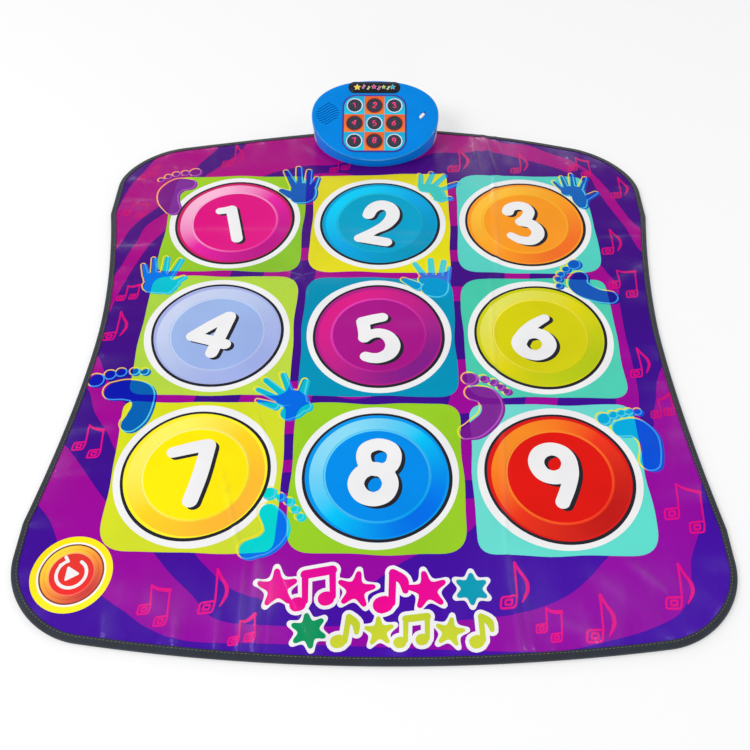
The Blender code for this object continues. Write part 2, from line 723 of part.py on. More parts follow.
def make_top_shell():
    shell = plate("console_top_shell", face_outline(), -BODY_DEPTH, 0, MATERIALS["blue"], console)
    rim = shell.modifiers.new("rim_round", "BEVEL")
    rim.width = RIM_ROUND
    rim.segments = RIM_STEPS
    rim.limit_method = "ANGLE"
    rim.angle_limit = math.radians(40)
    hollow = cutter("shell_hollow", face_outline(SHELL_WALL), -BODY_DEPTH - CUT_PAST, -SHELL_WALL, console)
    behind = [
        (SKIRT_END_TOP, -REAR_SKIRT),
        (FAR, -REAR_SKIRT),
        (FAR, -FAR),
        (2 * SKIRT_END_LOW - SKIRT_END_TOP, -2 * FACE_Z),
        (SKIRT_END_LOW, -FACE_Z),
    ]
    boolean(
        shell,
        hollow,
        side_profile_cutter("skirt_end", behind, console),
        box_cutter("skirt_foot", (-FAR, -FAR, -FAR), (FAR, 2 * FAR, BASE_FRONT_Z)),
        cutter("panel_recess", panel_outline(GAP), -PANEL_RECESS, CUT_PAST, console),
        cutter("badge_recess", badge_outline(GAP), -PANEL_RECESS, CUT_PAST, console),
    )
    for i, loop in enumerate(window_circles(WINDOW_RADIUS + GAP)):
        boolean(shell, cutter(f"window_hole_{i + 1}", loop, -CUT_PAST, CUT_PAST, console))
    for i, loop in enumerate(grille_slots()):
        boolean(shell, cutter(f"grille_slot_{i + 1}", loop, -CUT_PAST, CUT_PAST, console))
    slot = capsule(SWITCH_U, SWITCH_V, *SWITCH_SLOT, SWITCH_ANGLE)
    boolean(shell, cutter("switch_slot", slot, -CUT_PAST, CUT_PAST, console))
    root = -(SHELL_WALL + PANEL_RECESS) / 2
    cradle = SPEAKER_RADIUS + GAP, SPEAKER_RADIUS + GAP + CRADLE_WALL
    low = -SHELL_WALL - CRADLE_DEPTH
    high = -SHELL_WALL / 2
    ring = [(cradle[1], high), (cradle[1], low), (cradle[0], low), (cradle[0], high)]
    spot = (SPEAKER_U, SPEAKER_V, 0)
    join(shell, turned("speaker_cradle", ring, None, console, spot, collection=CUTTERS))
    for i, (u, v) in enumerate(posts()):
        join(shell, rod_cutter(f"board_post_{i + 1}", POST_RADIUS, BOARD_N + GAP, root, console, (u, v, 0)))
    for name, u, v, parting in bosses():
        pilot_top = -parting + SHELL_SCREW_LENGTH - SCREW_SEAT + GAP
        boss = boss_profile(BOSS_RADIUS, SHELL_SCREW[2] + GAP, GAP - parting, pilot_top, high)
        join(shell, turned(f"boss_{name}", boss, None, console, (u, v, 0), SMALL_STEPS, CUTTERS))
    return shell


def make_display():
    holes = window_circles(WINDOW_RADIUS + GAP)
    low = -PANEL_RECESS + GAP
    plate("display_panel", panel_outline(), low, low + PANEL_THICKNESS, MATERIALS["panel"], console, holes)
    plate("badge_plate", badge_outline(), low, low + PANEL_THICKNESS, MATERIALS["badge"], console)
    lens_outline = rounded_rectangle(PANEL_U, PANEL_V, LENS_PLATE_SIZE, LENS_PLATE_SIZE, LENS_PLATE_CORNER)
    top = low + PANEL_THICKNESS + WINDOW_PROUD - GAP
    plate_low = LENS_N - LENS_PLATE_THICKNESS
    lenses = plate("window_lenses", lens_outline, plate_low, top, MATERIALS["lens"], console)
    around = rounded_rectangle(PANEL_U, PANEL_V, 2 * LENS_PLATE_SIZE, 2 * LENS_PLATE_SIZE, LENS_PLATE_CORNER)
    windows = window_circles(WINDOW_RADIUS)
    boolean(lenses, cutter("around_lenses", around, LENS_N, CUT_PAST, console, windows))
    light_holes = window_circles(LIGHT_HOLE_RADIUS, HOLE_STEPS)
    plate(
        "light_box", lens_outline, LIGHT_BOX_N - LIGHT_BOX_DEPTH, LIGHT_BOX_N,
        MATERIALS["light_box"], console, light_holes,
    )
    board_outline = rounded_rectangle(PANEL_U, PANEL_V, BOARD_WIDTH, BOARD_LENGTH, BOARD_CORNER)
    board_low, led_top = BOARD_N - BOARD_THICKNESS, BOARD_N + LED_HEIGHT
    board = plate("circuit_board", board_outline, board_low, led_top, MATERIALS["board"], console)
    around = rounded_rectangle(PANEL_U, PANEL_V, 2 * BOARD_WIDTH, 2 * BOARD_LENGTH, BOARD_CORNER)
    leds = window_circles(LED_RADIUS, LED_SIDES)
    boolean(board, cutter("around_leds", around, BOARD_N, CUT_PAST, console, leds))
    low = BOARD_N - BOARD_THICKNESS - GAP
    connector = rounded_rectangle(0, TAIL_V, CONNECTOR_LENGTH, CONNECTOR_WIDTH, POST_RADIUS / 2, 2)
    plate("tail_connector", connector, low - CONNECTOR_DEPTH, low, MATERIALS["black"], console)


def make_speaker():
    spot = (SPEAKER_U, SPEAKER_V, 0)
    top = -SHELL_WALL - GAP
    wall = SPEAKER_FLANGE
    mouth = SPEAKER_RADIUS - 2 * wall
    low = top - SPEAKER_DEPTH
    basket = [
        (SPEAKER_RADIUS, top),
        (SPEAKER_RADIUS, top - wall),
        (mouth + wall, top - wall),
        (SPEAKER_THROAT + wall, low),
        (SPEAKER_THROAT, low),
        (mouth, top),
    ]
    turned("speaker_frame", basket, MATERIALS["steel"], console, spot)
    rim = mouth - 2 * GAP
    slope = (mouth - SPEAKER_THROAT) / SPEAKER_DEPTH
    base = rim - slope * CONE_DIP
    cone = [
        (0, top - CONE_DIP),
        (base, top - CONE_DIP),
        (rim, top),
        (rim, top - CONE_THICKNESS),
        (base, top - CONE_DIP - CONE_THICKNESS),
        (0, top - CONE_DIP - CONE_THICKNESS),
    ]
    turned("speaker_cone", cone, MATERIALS["paper"], console, spot)
    high = low - GAP
    rod("speaker_magnet", MAGNET_RADIUS, high - MAGNET_DEPTH, high, MATERIALS["black"], console, spot)


def make_switch():
    spot = (SWITCH_U, SWITCH_V, 0)
    well = -SHELL_WALL - GAP
    body_outline = capsule(0, 0, SWITCH_BODY_LENGTH, SWITCH_BODY_WIDTH)
    body = plate("switch_body", body_outline, well - SWITCH_BODY_DEPTH, well, MATERIALS["black"], console)
    body.location = spot
    body.rotation_euler = (0, 0, SWITCH_ANGLE)
    track = capsule(SWITCH_U, SWITCH_V, *SWITCH_SLOT, SWITCH_ANGLE)
    boolean(body, cutter("switch_track", track, well - SWITCH_WELL, CUT_PAST, console))
    knob_outline = capsule(0, 0, KNOB_LENGTH, KNOB_WIDTH)
    foot = well - SWITCH_WELL + GAP
    knob = plate("switch_knob", knob_outline, foot, KNOB_PROUD, MATERIALS["white"], console)
    back = -SWITCH_TRAVEL / 2
    along = Vector((math.cos(SWITCH_ANGLE), math.sin(SWITCH_ANGLE), 0)) * back
    knob.location = Vector(spot) + along
    knob.rotation_euler = (0, 0, SWITCH_ANGLE)


# Battery bay, as world heights and places
DOOR_Z = (BASE_REAR_Z, BASE_REAR_Z + DOOR_THICKNESS)
CELL_Z = DOOR_Z[1] + GAP + CELL_RADIUS
BAY_HALF_X = CELL_LENGTH / 2 + CELL_CAP + CONTACT_SPRING + CONTACT_THICKNESS + 3 * GAP
BAY_Y = (STEP_Y + BAY_SETBACK + BAY_WALL, STEP_Y + BAY_SETBACK + BAY_WALL + CELL_COUNT * CELL_PITCH + GAP)
BAY_TOP = CELL_Z + CELL_RADIUS + GAP


def door_outline(grow=0.0):
    low = CONSOLE_X - BAY_HALF_X + GAP - grow
    high = CONSOLE_X + BAY_HALF_X + DOOR_TONGUE - GAP + grow
    front, rear = BAY_Y[0] + GAP - grow, BAY_Y[1] - GAP + grow
    centre = (low + high) / 2, (front + rear) / 2
    return rounded_rectangle(*centre, high - low, rear - front, DOOR_CORNER + grow, 3)


def door_screw_place():
    return CONSOLE_X + BAY_HALF_X + DOOR_TONGUE / 2 + GAP, (BAY_Y[0] + BAY_Y[1]) / 2


def behind_skirt(name, wall, gap):
    """The lower body's space behind and under the skirt, in from its outside by wall and from the skirt by gap."""
    made = cutter(name, face_outline(wall), -BODY_DEPTH, -REAR_SKIRT - gap, console)
    ahead = [
        (-FAR, 0.0),
        (SKIRT_END_TOP + 2 * gap, 0.0),
        (SKIRT_END_TOP + 2 * gap, -REAR_SKIRT),
        (SKIRT_END_LOW + 2 * gap, -FACE_Z),
        (2 * SKIRT_END_LOW - SKIRT_END_TOP + 2 * gap, -2 * FACE_Z),
        (2 * SKIRT_END_LOW - SKIRT_END_TOP + 2 * gap, -FAR),
        (-FAR, -FAR),
    ]
    return boolean(made, side_profile_cutter(f"{name}_front", ahead, console))


def make_base():
    low = (-FAR, -FAR, -FAR)
    outer = SHELL_WALL + GAP
    rim = -BASE_TOP_DROP
    base = plate("console_base", face_outline(outer), -BODY_DEPTH, rim, MATERIALS["pale"], console)
    hollow = cutter("base_hollow", face_outline(outer + BASE_WALL), -BODY_DEPTH, CUT_PAST, console)
    join(base, behind_skirt("flush_wall", 0.0, GAP))
    join(hollow, behind_skirt("flush_hollow", BASE_WALL, GAP + BASE_WALL))
    boolean(
        hollow,
        box_cutter("keep_front_floor", low, (FAR, STEP_Y + BASE_WALL, BASE_FRONT_Z + BASE_WALL)),
        box_cutter("keep_rear_floor", low, (FAR, 2 * FAR, BASE_REAR_Z + BASE_WALL)),
    )
    boolean(base, hollow)
    for name, u, v, parting in bosses():
        span = -BODY_DEPTH, -parting
        join(base, rod_cutter(f"standoff_{name}", STANDOFF_RADIUS, *span, console, (u, v, 0)))
    bay_low = (CONSOLE_X - BAY_HALF_X - BAY_WALL, BAY_Y[0] - BAY_WALL, BASE_REAR_Z)
    bay_high = (CONSOLE_X + BAY_HALF_X + BAY_WALL, BAY_Y[1] + BAY_WALL, BAY_TOP + BAY_WALL)
    screw_x, screw_y = door_screw_place()
    block_low = (CONSOLE_X + BAY_HALF_X, BAY_Y[0] - BAY_WALL, BASE_REAR_Z)
    block_high = (
        CONSOLE_X + BAY_HALF_X + DOOR_TONGUE + BAY_WALL,
        BAY_Y[1] + BAY_WALL,
        BASE_REAR_Z + DOOR_SCREW_BLOCK,
    )
    join(base, box_cutter("bay_block", bay_low, bay_high))
    join(base, box_cutter("door_screw_block", block_low, block_high))
    for i, (x, y) in enumerate(CLAMP_HOLES):
        top = BASE_FRONT_Z + CLAMP_BOSS_HEIGHT
        middle = BASE_FRONT_Z + BASE_WALL / 2
        join(base, rod_cutter(f"clamp_boss_{i + 1}", STANDOFF_RADIUS, middle, top, None, (x, y, 0)))
    space_low = (CONSOLE_X - BAY_HALF_X, BAY_Y[0], -CUT_PAST)
    space_high = (CONSOLE_X + BAY_HALF_X, BAY_Y[1], BAY_TOP)
    pilot_top = BASE_REAR_Z + DOOR_SCREW_LENGTH + 2 * GAP
    pilot_place = (screw_x, screw_y, 0)
    boolean(
        base,
        box_cutter("below_front", low, (FAR, STEP_Y, BASE_FRONT_Z)),
        box_cutter("below_rear", low, (FAR, 2 * FAR, BASE_REAR_Z)),
        box_cutter("bay_space", space_low, space_high),
        cutter("door_opening", door_outline(GAP), -CUT_PAST, DOOR_Z[1] + GAP),
        rod_cutter("door_pilot", DOOR_SCREW[2] + GAP, -CUT_PAST, pilot_top, None, pilot_place),
        cutter("tail_hole", tail_slot_outline(), -CUT_PAST, BASE_FRONT_Z + 2 * BASE_WALL),
    )
    for name, u, v, parting in bosses():
        span = -parting - SCREW_SEAT, -BODY_DEPTH, CUT_PAST - parting
        boolean(base, screw_way(f"screw_way_{name}", SHELL_SCREW, *span, console, (u, v, 0)))
    for i, (x, y) in enumerate(CLAMP_HOLES):
        span = -CUT_PAST, BASE_FRONT_Z + CLAMP_BOSS_HEIGHT + GAP
        boolean(base, rod_cutter(f"clamp_pilot_{i + 1}", CLAMP_SCREW[2] + GAP, *span, None, (x, y, 0)))
    for name, u, v, parting in bosses():
        screw(
            f"shell_screw_{name}", SHELL_SCREW, SHELL_SCREW_LENGTH, -parting - SCREW_SEAT - GAP,
            MATERIALS["steel"], console, (u, v, 0),
        )
    for side, label in ((-1, "left"), (1, "right")):
        spot = (CONSOLE_X + side * FOOT_SPREAD, STEP_Y + FOOT_SETBACK, 0)
        rod(f"rubber_foot_{label}", FOOT_RADIUS, 0, FOOT_HEIGHT, MATERIALS["rubber"], None, spot, 16)


def make_battery_bay():
    screw_x, screw_y = door_screw_place()
    centre = (CONSOLE_X, screw_y)
    door = plate("battery_door", door_outline(), *DOOR_Z, MATERIALS["pale"], centre=centre)
    recess = DOOR_SCREW[1] + 2 * GAP
    seat = DOOR_Z[0] + recess
    place = (screw_x, screw_y, 0)
    boolean(door, screw_way("door_screw_way", DOOR_SCREW, seat, -CUT_PAST, CUT_PAST, None, place))
    screw("door_screw", DOOR_SCREW, DOOR_SCREW_LENGTH - recess, seat - GAP, MATERIALS["steel"], None, place)
    for i in range(CELL_COUNT):
        y = BAY_Y[0] + GAP / 2 + CELL_PITCH * (i + 0.5)
        end = CELL_LENGTH / 2
        profile = [
            (0, end + CELL_CAP),
            (CELL_CAP_RADIUS, end + CELL_CAP),
            (CELL_CAP_RADIUS, end),
            (CELL_RADIUS, end),
            (CELL_RADIUS, -end),
            (0, -end),
        ]
        cell = turned(f"battery_{i + 1}", profile, MATERIALS["cell"], None, (CONSOLE_X, y, CELL_Z), 16)
        cell.rotation_euler = (0, math.radians(90 if i % 2 else -90), 0)
    for side, label in ((-1, "left"), (1, "right")):
        make_contacts(f"battery_contacts_{label}", side)


def make_contacts(name, side):
    """A strip of plated steel with a pressed spring or button for each cell."""
    outer = BAY_HALF_X - GAP
    x0 = CONSOLE_X + side * outer
    x1 = CONSOLE_X + side * (outer - CONTACT_THICKNESS)
    low = (min(x0, x1), BAY_Y[0] + GAP, DOOR_Z[1] + 2 * GAP)
    high = (max(x0, x1), BAY_Y[1] - GAP, BAY_TOP - GAP)
    strip = plate(name, rectangle(*low[:2], *high[:2]), low[2], high[2], MATERIALS["steel"])
    for i in range(CELL_COUNT):
        y = BAY_Y[0] + GAP / 2 + CELL_PITCH * (i + 0.5)
        cap_end = (side > 0) == bool(i % 2)
        reach = CONTACT_SPRING if cap_end else CONTACT_SPRING + CELL_CAP
        root = -CONTACT_THICKNESS / 2
        profile = [(0, reach), (CONTACT_SPRING_RADIUS / 2, reach), (CONTACT_SPRING_RADIUS, root), (0, root)]
        spring = turned(f"{name}_spring_{i + 1}", profile, None, None, (x1, y, CELL_Z), SMALL_STEPS, CUTTERS)
        spring.rotation_euler = (0, math.radians(-90 * side), 0)
        join(strip, spring)


# Clamp and film tail

def make_clamp():
    high = LOWER_FILM_Z[1]
    strip = plate("clamp_plate", clamp_outline(), 0, high, MATERIALS["steel"])
    seat = CLAMP_SCREW[1] + 2 * GAP
    length = BASE_FRONT_Z + CLAMP_BOSS_HEIGHT - 2 * GAP - seat
    for i, (x, y) in enumerate(CLAMP_HOLES):
        span = -CUT_PAST, CUT_PAST
        boolean(strip, screw_way(f"clamp_screw_way_{i + 1}", CLAMP_SCREW, seat, *span, None, (x, y, 0)))
        screw(f"clamp_screw_{i + 1}", CLAMP_SCREW, length, seat - GAP, MATERIALS["steel"], None, (x, y, 0))


def make_tail():
    """A strip of contact film that turns up through the cover and the base to the board's connector."""
    low = BOARD_N - BOARD_THICKNESS - GAP - CONNECTOR_DEPTH - GAP
    end_y = FACE_Y + TAIL_V * math.cos(TILT) - low * math.sin(TILT)
    end_z = FACE_Z + TAIL_V * math.sin(TILT) + low * math.cos(TILT)
    flat_z = (UPPER_FILM_Z[0] + UPPER_FILM_Z[1]) / 2
    route = [
        (TAIL_Y - TAIL_LENGTH_FLAT, flat_z),
        (TAIL_Y, flat_z),
        (TAIL_Y, BASE_FRONT_Z + BASE_WALL + 2 * GAP),
        (end_y, end_z - TAIL_THICKNESS),
    ]
    half = TAIL_WIDTH / 2 - GAP
    mesh = bpy.data.meshes.new("film_tail")
    points = [(CONSOLE_X + side * half, y, z) for y, z in route for side in (-1, 1)]
    strips = [(2 * i, 2 * i + 1, 2 * i + 3, 2 * i + 2) for i in range(len(route) - 1)]
    mesh.from_pydata(points, [], strips)
    tail = add(bpy.data.objects.new("film_tail", mesh), PARTS, MATERIALS["film"])
    thick = tail.modifiers.new("thickness", "SOLIDIFY")
    thick.thickness = TAIL_THICKNESS
    thick.offset = 0
    thick.use_even_offset = True


make_mat()
make_top_shell()
make_display()
make_speaker()
make_switch()
make_base()
make_battery_bay()
make_clamp()
make_tail()
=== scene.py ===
# %% [markdown]
# # A musical floor game mat
# The real object is a soft vinyl mat with nine printed touch pads, and a small console on its rear edge.
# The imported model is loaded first, because every piece below takes its place and its motion from it.

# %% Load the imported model
import math

import bmesh
import bpy
import numpy as np
from mathutils import Matrix, Vector
from mathutils.geometry import delaunay_2d_cdt


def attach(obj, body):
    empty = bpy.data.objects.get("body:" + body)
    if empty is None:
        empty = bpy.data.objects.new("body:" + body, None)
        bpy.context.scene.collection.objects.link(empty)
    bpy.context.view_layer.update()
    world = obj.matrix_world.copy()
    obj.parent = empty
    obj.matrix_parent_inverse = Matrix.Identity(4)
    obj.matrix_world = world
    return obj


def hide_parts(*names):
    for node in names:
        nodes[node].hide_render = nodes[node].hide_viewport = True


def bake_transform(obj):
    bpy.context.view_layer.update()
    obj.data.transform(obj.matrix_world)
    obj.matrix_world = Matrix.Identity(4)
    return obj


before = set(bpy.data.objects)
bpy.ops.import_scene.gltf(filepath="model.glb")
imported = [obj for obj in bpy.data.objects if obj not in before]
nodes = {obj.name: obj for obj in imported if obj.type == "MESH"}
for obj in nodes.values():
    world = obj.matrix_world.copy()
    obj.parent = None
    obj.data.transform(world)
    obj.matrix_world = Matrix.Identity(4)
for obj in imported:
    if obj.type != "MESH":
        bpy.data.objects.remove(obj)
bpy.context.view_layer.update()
MM = 0.001
ROOT, LEFT, RIGHT = "middle_panel_and_console", "left_panel", "right_panel"

# %% [markdown]
# ## Camera
# The photograph's viewpoint was worked out from the printed squares, which are equal and stand in rows.
# The camera stands in front of the mat, a little above a metre from its middle, and looks down at it.

# %% Camera
CAMERA_AT, FOCAL_LENGTH, SENSOR = (0.00544, -0.74921, 0.90772), 41.17, 36
YAW, TILT, ROLL = (math.radians(angle) for angle in (0.81, 36.92, -0.25))


def linked(made):
    """Puts a new object into the scene."""
    bpy.context.scene.collection.objects.link(made)
    return made


camera = linked(bpy.data.objects.new("camera", bpy.data.cameras.new("camera")))
bpy.context.scene.camera = camera
camera.data.sensor_width = SENSOR
camera.data.lens = FOCAL_LENGTH
turned = Matrix.Rotation(YAW, 4, "Z") @ Matrix.Rotation(TILT, 4, "X") @ Matrix.Rotation(ROLL, 4, "Z")
camera.matrix_world = Matrix.Translation(CAMERA_AT) @ turned
print("camera at", CAMERA_AT)

# %% [markdown]
# ## Shader maths as Python expressions
# A Signal wraps one socket, so that masks and noises can be added and multiplied as numbers are.
# A Finish is one material: its node method makes any node from its type, settings and socket values.

# %% Signals and finishes
class Signal:
    """One socket in a material, used in Python expressions."""

    def __init__(self, finish, socket):
        self.finish, self.socket = finish, socket

    def maths(self, operation, first, second):
        return self.finish.node("ShaderNodeMath", {"operation": operation}, {0: first, 1: second})

    def __add__(self, other):
        return self.maths("ADD", self, other)

    def __sub__(self, other):
        return self.maths("SUBTRACT", self, other)

    def __rsub__(self, other):
        return self.maths("SUBTRACT", other, self)

    def __mul__(self, other):
        return self.maths("MULTIPLY", self, other)

    __radd__, __rmul__ = __add__, __mul__


class Finish:
    """A node material with a Principled shader, and one method that makes every other node."""

    def __init__(self, name, **constants):
        self.material = bpy.data.materials.new(name)
        self.material.use_nodes = True
        self.tree = self.material.node_tree
        self.shader = self.tree.nodes["Principled BSDF"]
        for socket, value in constants.items():
            self.shader.inputs[socket.replace("_", " ")].default_value = value
        self.object = self.node("ShaderNodeTexCoord", out="Object")

    def node(self, kind, settings=(), sockets=(), out=0):
        made = self.tree.nodes.new(kind)
        for key, value in dict(settings).items():
            if key == "stops":
                ramp = made.color_ramp
                while len(ramp.elements) < len(value):
                    ramp.elements.new(1.0)
                for element, (place, colour) in zip(ramp.elements, value):
                    element.position, element.color = place, colour
            else:
                setattr(made, key, value)
        for key, value in dict(sockets).items():
            if isinstance(value, Signal):
                self.tree.links.new(value.socket, made.inputs[key])
            else:
                made.inputs[key].default_value = value
        return Signal(self, made.outputs[out])

    def feed(self, socket, signal):
        self.tree.links.new(signal.socket, self.shader.inputs[socket])

    def noise(self, scale, detail=2.0, stretch=(1, 1, 1)):
        spot = self.node("ShaderNodeMapping", {}, {"Vector": self.object, "Scale": stretch})
        return self.node("ShaderNodeTexNoise", {}, {"Vector": spot, "Scale": scale, "Detail": detail})

    def attribute(self, name, out="Color"):
        return self.node("ShaderNodeAttribute", {"attribute_name": name}, {}, out)

    def ramp(self, signal, low, high):
        """Rises smoothly from 0 at low to 1 at high."""
        limits = {"From Min": low, "From Max": high, "Value": signal}
        return self.node("ShaderNodeMapRange", {"interpolation_type": "SMOOTHSTEP"}, limits)

    def blend(self, factor, first, second):
        kind = {"data_type": "RGBA"}
        return self.node("ShaderNodeMix", kind, {0: factor, 6: first, 7: second}, out=2)

    def bump(self, height, distance, strength=1.0, under=None):
        sockets = {"Height": height, "Distance": distance, "Strength": strength}
        if under:
            sockets["Normal"] = under
        return self.node("ShaderNodeBump", {}, sockets)


def paint(red, green, blue):
    """A colour as the eye names it, from 0 to 255, turned into the linear values that shaders use."""
    steps = [c / 255 for c in (red, green, blue)]
    return tuple(c / 12.92 if c <= 0.04045 else ((c + 0.055) / 1.055) ** 2.4 for c in steps) + (1.0,)


def shade(colour, factor):
    """A darker copy of a colour."""
    return tuple(c * factor for c in colour[:3]) + (1.0,)


# %% [markdown]
# ## Floor and light
# A product photograph on white: a wide pale floor, a bright even sky and a large soft lamp at the front left.
# A low lamp in front lights the upright walls. A long lamp behind the mat puts a faint sheen on its far end,
# and one at each side makes the creases glint.

# %% Floor
FLOOR_HALF, FLOOR_LEVEL, FLOOR_GLOW = 6, -0.0006, 0.35
floor_mesh = bmesh.new()
bmesh.ops.create_grid(floor_mesh, x_segments=2, y_segments=2, size=FLOOR_HALF)
bmesh.ops.translate(floor_mesh, verts=floor_mesh.verts, vec=(0, 0, FLOOR_LEVEL))
floor = linked(bpy.data.objects.new("floor", bpy.data.meshes.new("floor")))
floor_mesh.to_mesh(floor.data)
floor_mesh.free()

white = Finish("studio_white", Roughness=0.9, Specular_IOR_Level=0.1)
white.shader.inputs["Base Color"].default_value = paint(246, 246, 247)
SEEN_BY = ("Is Camera Ray", "Is Glossy Ray", "Is Transmission Ray")
seen_rays = [white.node("ShaderNodeLightPath", out=name) for name in SEEN_BY]
glow = white.node("ShaderNodeEmission", {}, {"Color": (1, 1, 1, 1), "Strength": 1.0})
share = (seen_rays[0] + seen_rays[1] + seen_rays[2]) * FLOOR_GLOW
lift = white.node("ShaderNodeMixShader", {}, {0: share, 2: glow})
white.tree.links.new(white.shader.outputs[0], lift.socket.node.inputs[1])
white.tree.links.new(lift.socket, white.tree.nodes["Material Output"].inputs["Surface"])
floor.data.materials.append(white.material)
print("floor", 2 * FLOOR_HALF, "m wide")

# %% Sky and lamps
SKY_LIGHT, SKY_SEEN = 0.60, 1.0

world = bpy.data.worlds.new("studio")
bpy.context.scene.world = world
world.use_nodes = True
sky = world.node_tree
seen = sky.nodes.new("ShaderNodeLightPath")
strength = sky.nodes.new("ShaderNodeMapRange")
strength.inputs["To Min"].default_value = SKY_LIGHT
strength.inputs["To Max"].default_value = SKY_SEEN
total = seen.outputs[SEEN_BY[0]]
for name in SEEN_BY[1:]:
    either = sky.nodes.new("ShaderNodeMath")
    either.operation = "MAXIMUM"
    sky.links.new(total, either.inputs[0])
    sky.links.new(seen.outputs[name], either.inputs[1])
    total = either.outputs[0]
sky.links.new(total, strength.inputs["Value"])
sky.links.new(strength.outputs["Result"], sky.nodes["Background"].inputs["Strength"])
sky.nodes["Background"].inputs["Color"].default_value = (1, 1, 1, 1)
bpy.context.scene.view_settings.view_transform = "Standard"


# Each lamp: where it stands, where it points, its size in metres and its power in watts
LAMPS = {
    "key_softbox": ((-2.6, -1.5, 3.1), (0, 0, 0), (2.2, 1.6), 70),
    "low_fill": ((0.0, -2.9, 0.75), (0, 0.3, 0), (2.0, 0.6), 11),
    "rear_strip": ((-0.4, 3.2, 1.7), (0, 0.3, 0), (2.4, 0.45), 9),
    "left_strip": ((-2.1, 0.0, 1.5), (0, 0, 0), (0.35, 2.2), 9),
    "right_strip": ((2.1, 0.1, 1.6), (0, 0, 0), (0.35, 2.2), 9),
}
for name, (spot, target, size, power) in LAMPS.items():
    lamp = linked(bpy.data.objects.new(name, bpy.data.lights.new(name, "AREA")))
    lamp.data.shape = "RECTANGLE"
    lamp.data.size, lamp.data.size_y = size
    lamp.data.energy = power
    lamp.location = spot
    lamp.rotation_euler = (Vector(target) - Vector(spot)).to_track_quat("-Z", "Y").to_euler()
print("floor, sky and", len(LAMPS), "lamps")

# %% [markdown]
# ## The mat's outline
# The mat is a rounded rectangle with a drawn-in waist and bowed front and rear edges. The same few sizes as
# in the CAD give its rim here, in millimetres, with more points so that its edge looks smooth.

# %% Outline
HALF_WIDTH, LEFT_SHIFT, REAR, FRONT, CORNER = 409.6, 3.5, 447.3, 452.4, 91.4
# The depth and the power of each bow: rear left, rear right and front. Then the waist's depth, left and
# right, its reach to the rear and to the front, and its power
BOWS = ((73.2, 1.2), (80.3, 1.82), (34.7, 2.0))
WAIST, WAIST_REACH, WAIST_POWER = (29.4, 22.8), (234.4, 290.5), 1.73
# The pads: the distance between them, how far the middle one stands in front of the origin, and two radii
PITCH, SETBACK, PAD_RADIUS, START_RADIUS = 220.3, 1.8, 65.0, 30.0
START = np.array((-341.5, -353.6))
COVER_TOP, COVER_THICKNESS = 5.4, 0.8
# A wing bends between these two distances from the middle. Near them, outlines and grids are finer
FOLD_FLAT, FOLD_END, FOLD_MARGIN = 127.0, 151.0, 4
# The console's middle, and the half sizes of the flat round it
CONSOLE_SPOT, CONSOLE_FLAT = np.array((-9.0, 415.0)), (125, 88)
BLOCK = 2000


def mat_rim(steps=40):
    """The rim as an anticlockwise loop of points, from the right-hand side."""
    plain = []
    for quarter, (side, edge) in enumerate(((1, REAR), (-1, REAR), (-1, -FRONT), (1, -FRONT))):
        x = side * (HALF_WIDTH - CORNER)
        y = edge - math.copysign(CORNER, edge)
        for i in range(steps + 1):
            angle = math.pi / 2 * (quarter + i / steps)
            plain.append((x + CORNER * math.cos(angle), y + CORNER * math.sin(angle)))
        if quarter % 2 == 0:
            run = 2 * (HALF_WIDTH - CORNER) / (4 * steps)
            plain += [(x - side * run * i, edge) for i in range(1, 4 * steps)]
        else:
            end = CORNER - FRONT if quarter == 1 else REAR - CORNER
            plain += [(side * HALF_WIDTH, y + (end - y) * i / (4 * steps)) for i in range(1, 4 * steps)]
    x, y = np.array(plain).T
    rear, right, share = y > 0, x > 0, np.abs(x) / HALF_WIDTH
    rear_left, rear_right, front = [depth * share ** power for depth, power in BOWS]
    bow = np.where(rear, np.where(right, rear_right, rear_left), front)
    y = y - np.sign(y) * bow * np.abs(y) / np.where(rear, REAR, FRONT)
    reach = np.abs(y) / np.where(y > 0, *WAIST_REACH)
    waist = np.where(right, WAIST[1], WAIST[0]) * np.maximum(0, 1 - reach ** WAIST_POWER)
    return np.stack([x - LEFT_SHIFT - waist * x / HALF_WIDTH, y], 1)


def outward(loop):
    """The outward direction at each point of an anticlockwise loop."""
    run = np.roll(loop, -1, axis=0) - np.roll(loop, 1, axis=0)
    return np.stack([run[:, 1], -run[:, 0]], 1) / np.hypot(*run.T)[:, None]


RIM = mat_rim()
RIM_RUN = np.concatenate([[0], np.cumsum(np.hypot(*(np.roll(RIM, -1, axis=0) - RIM).T))])


def from_rim(points):
    """How far each point lies from the rim, and how far along the rim its nearest place is."""
    away, along = np.empty(len(points)), np.empty(len(points))
    for start in range(0, len(points), BLOCK):
        block = points[start:start + BLOCK]
        gap = np.hypot(block[:, None, 0] - RIM[:, 0], block[:, None, 1] - RIM[:, 1])
        best = gap.argmin(1)
        away[start:start + BLOCK] = gap[np.arange(len(block)), best]
        along[start:start + BLOCK] = RIM_RUN[best]
    return away, along


print("rim of", len(RIM), "points,", round(RIM_RUN[-1]), "mm round")

# %% [markdown]
# ## The lie of the sheet
# The real mat has been folded and doesn't lie flat. Slow waves, creases and the puckers at the sewn tape
# raise the cover by up to a few millimetres, and the same creases and some wide patches shine more than the
# rest.

# %% Waves, creases and shine
# Each wave: height in millimetres, turn per millimetre in x and y, and its start
WAVES = (
    (0.22, 0.021, 0.050, 1.0), (0.20, -0.034, 0.031, 2.2), (0.16, 0.013, -0.083, 0.4),
    (0.12, 0.071, 0.045, 4.0),
)
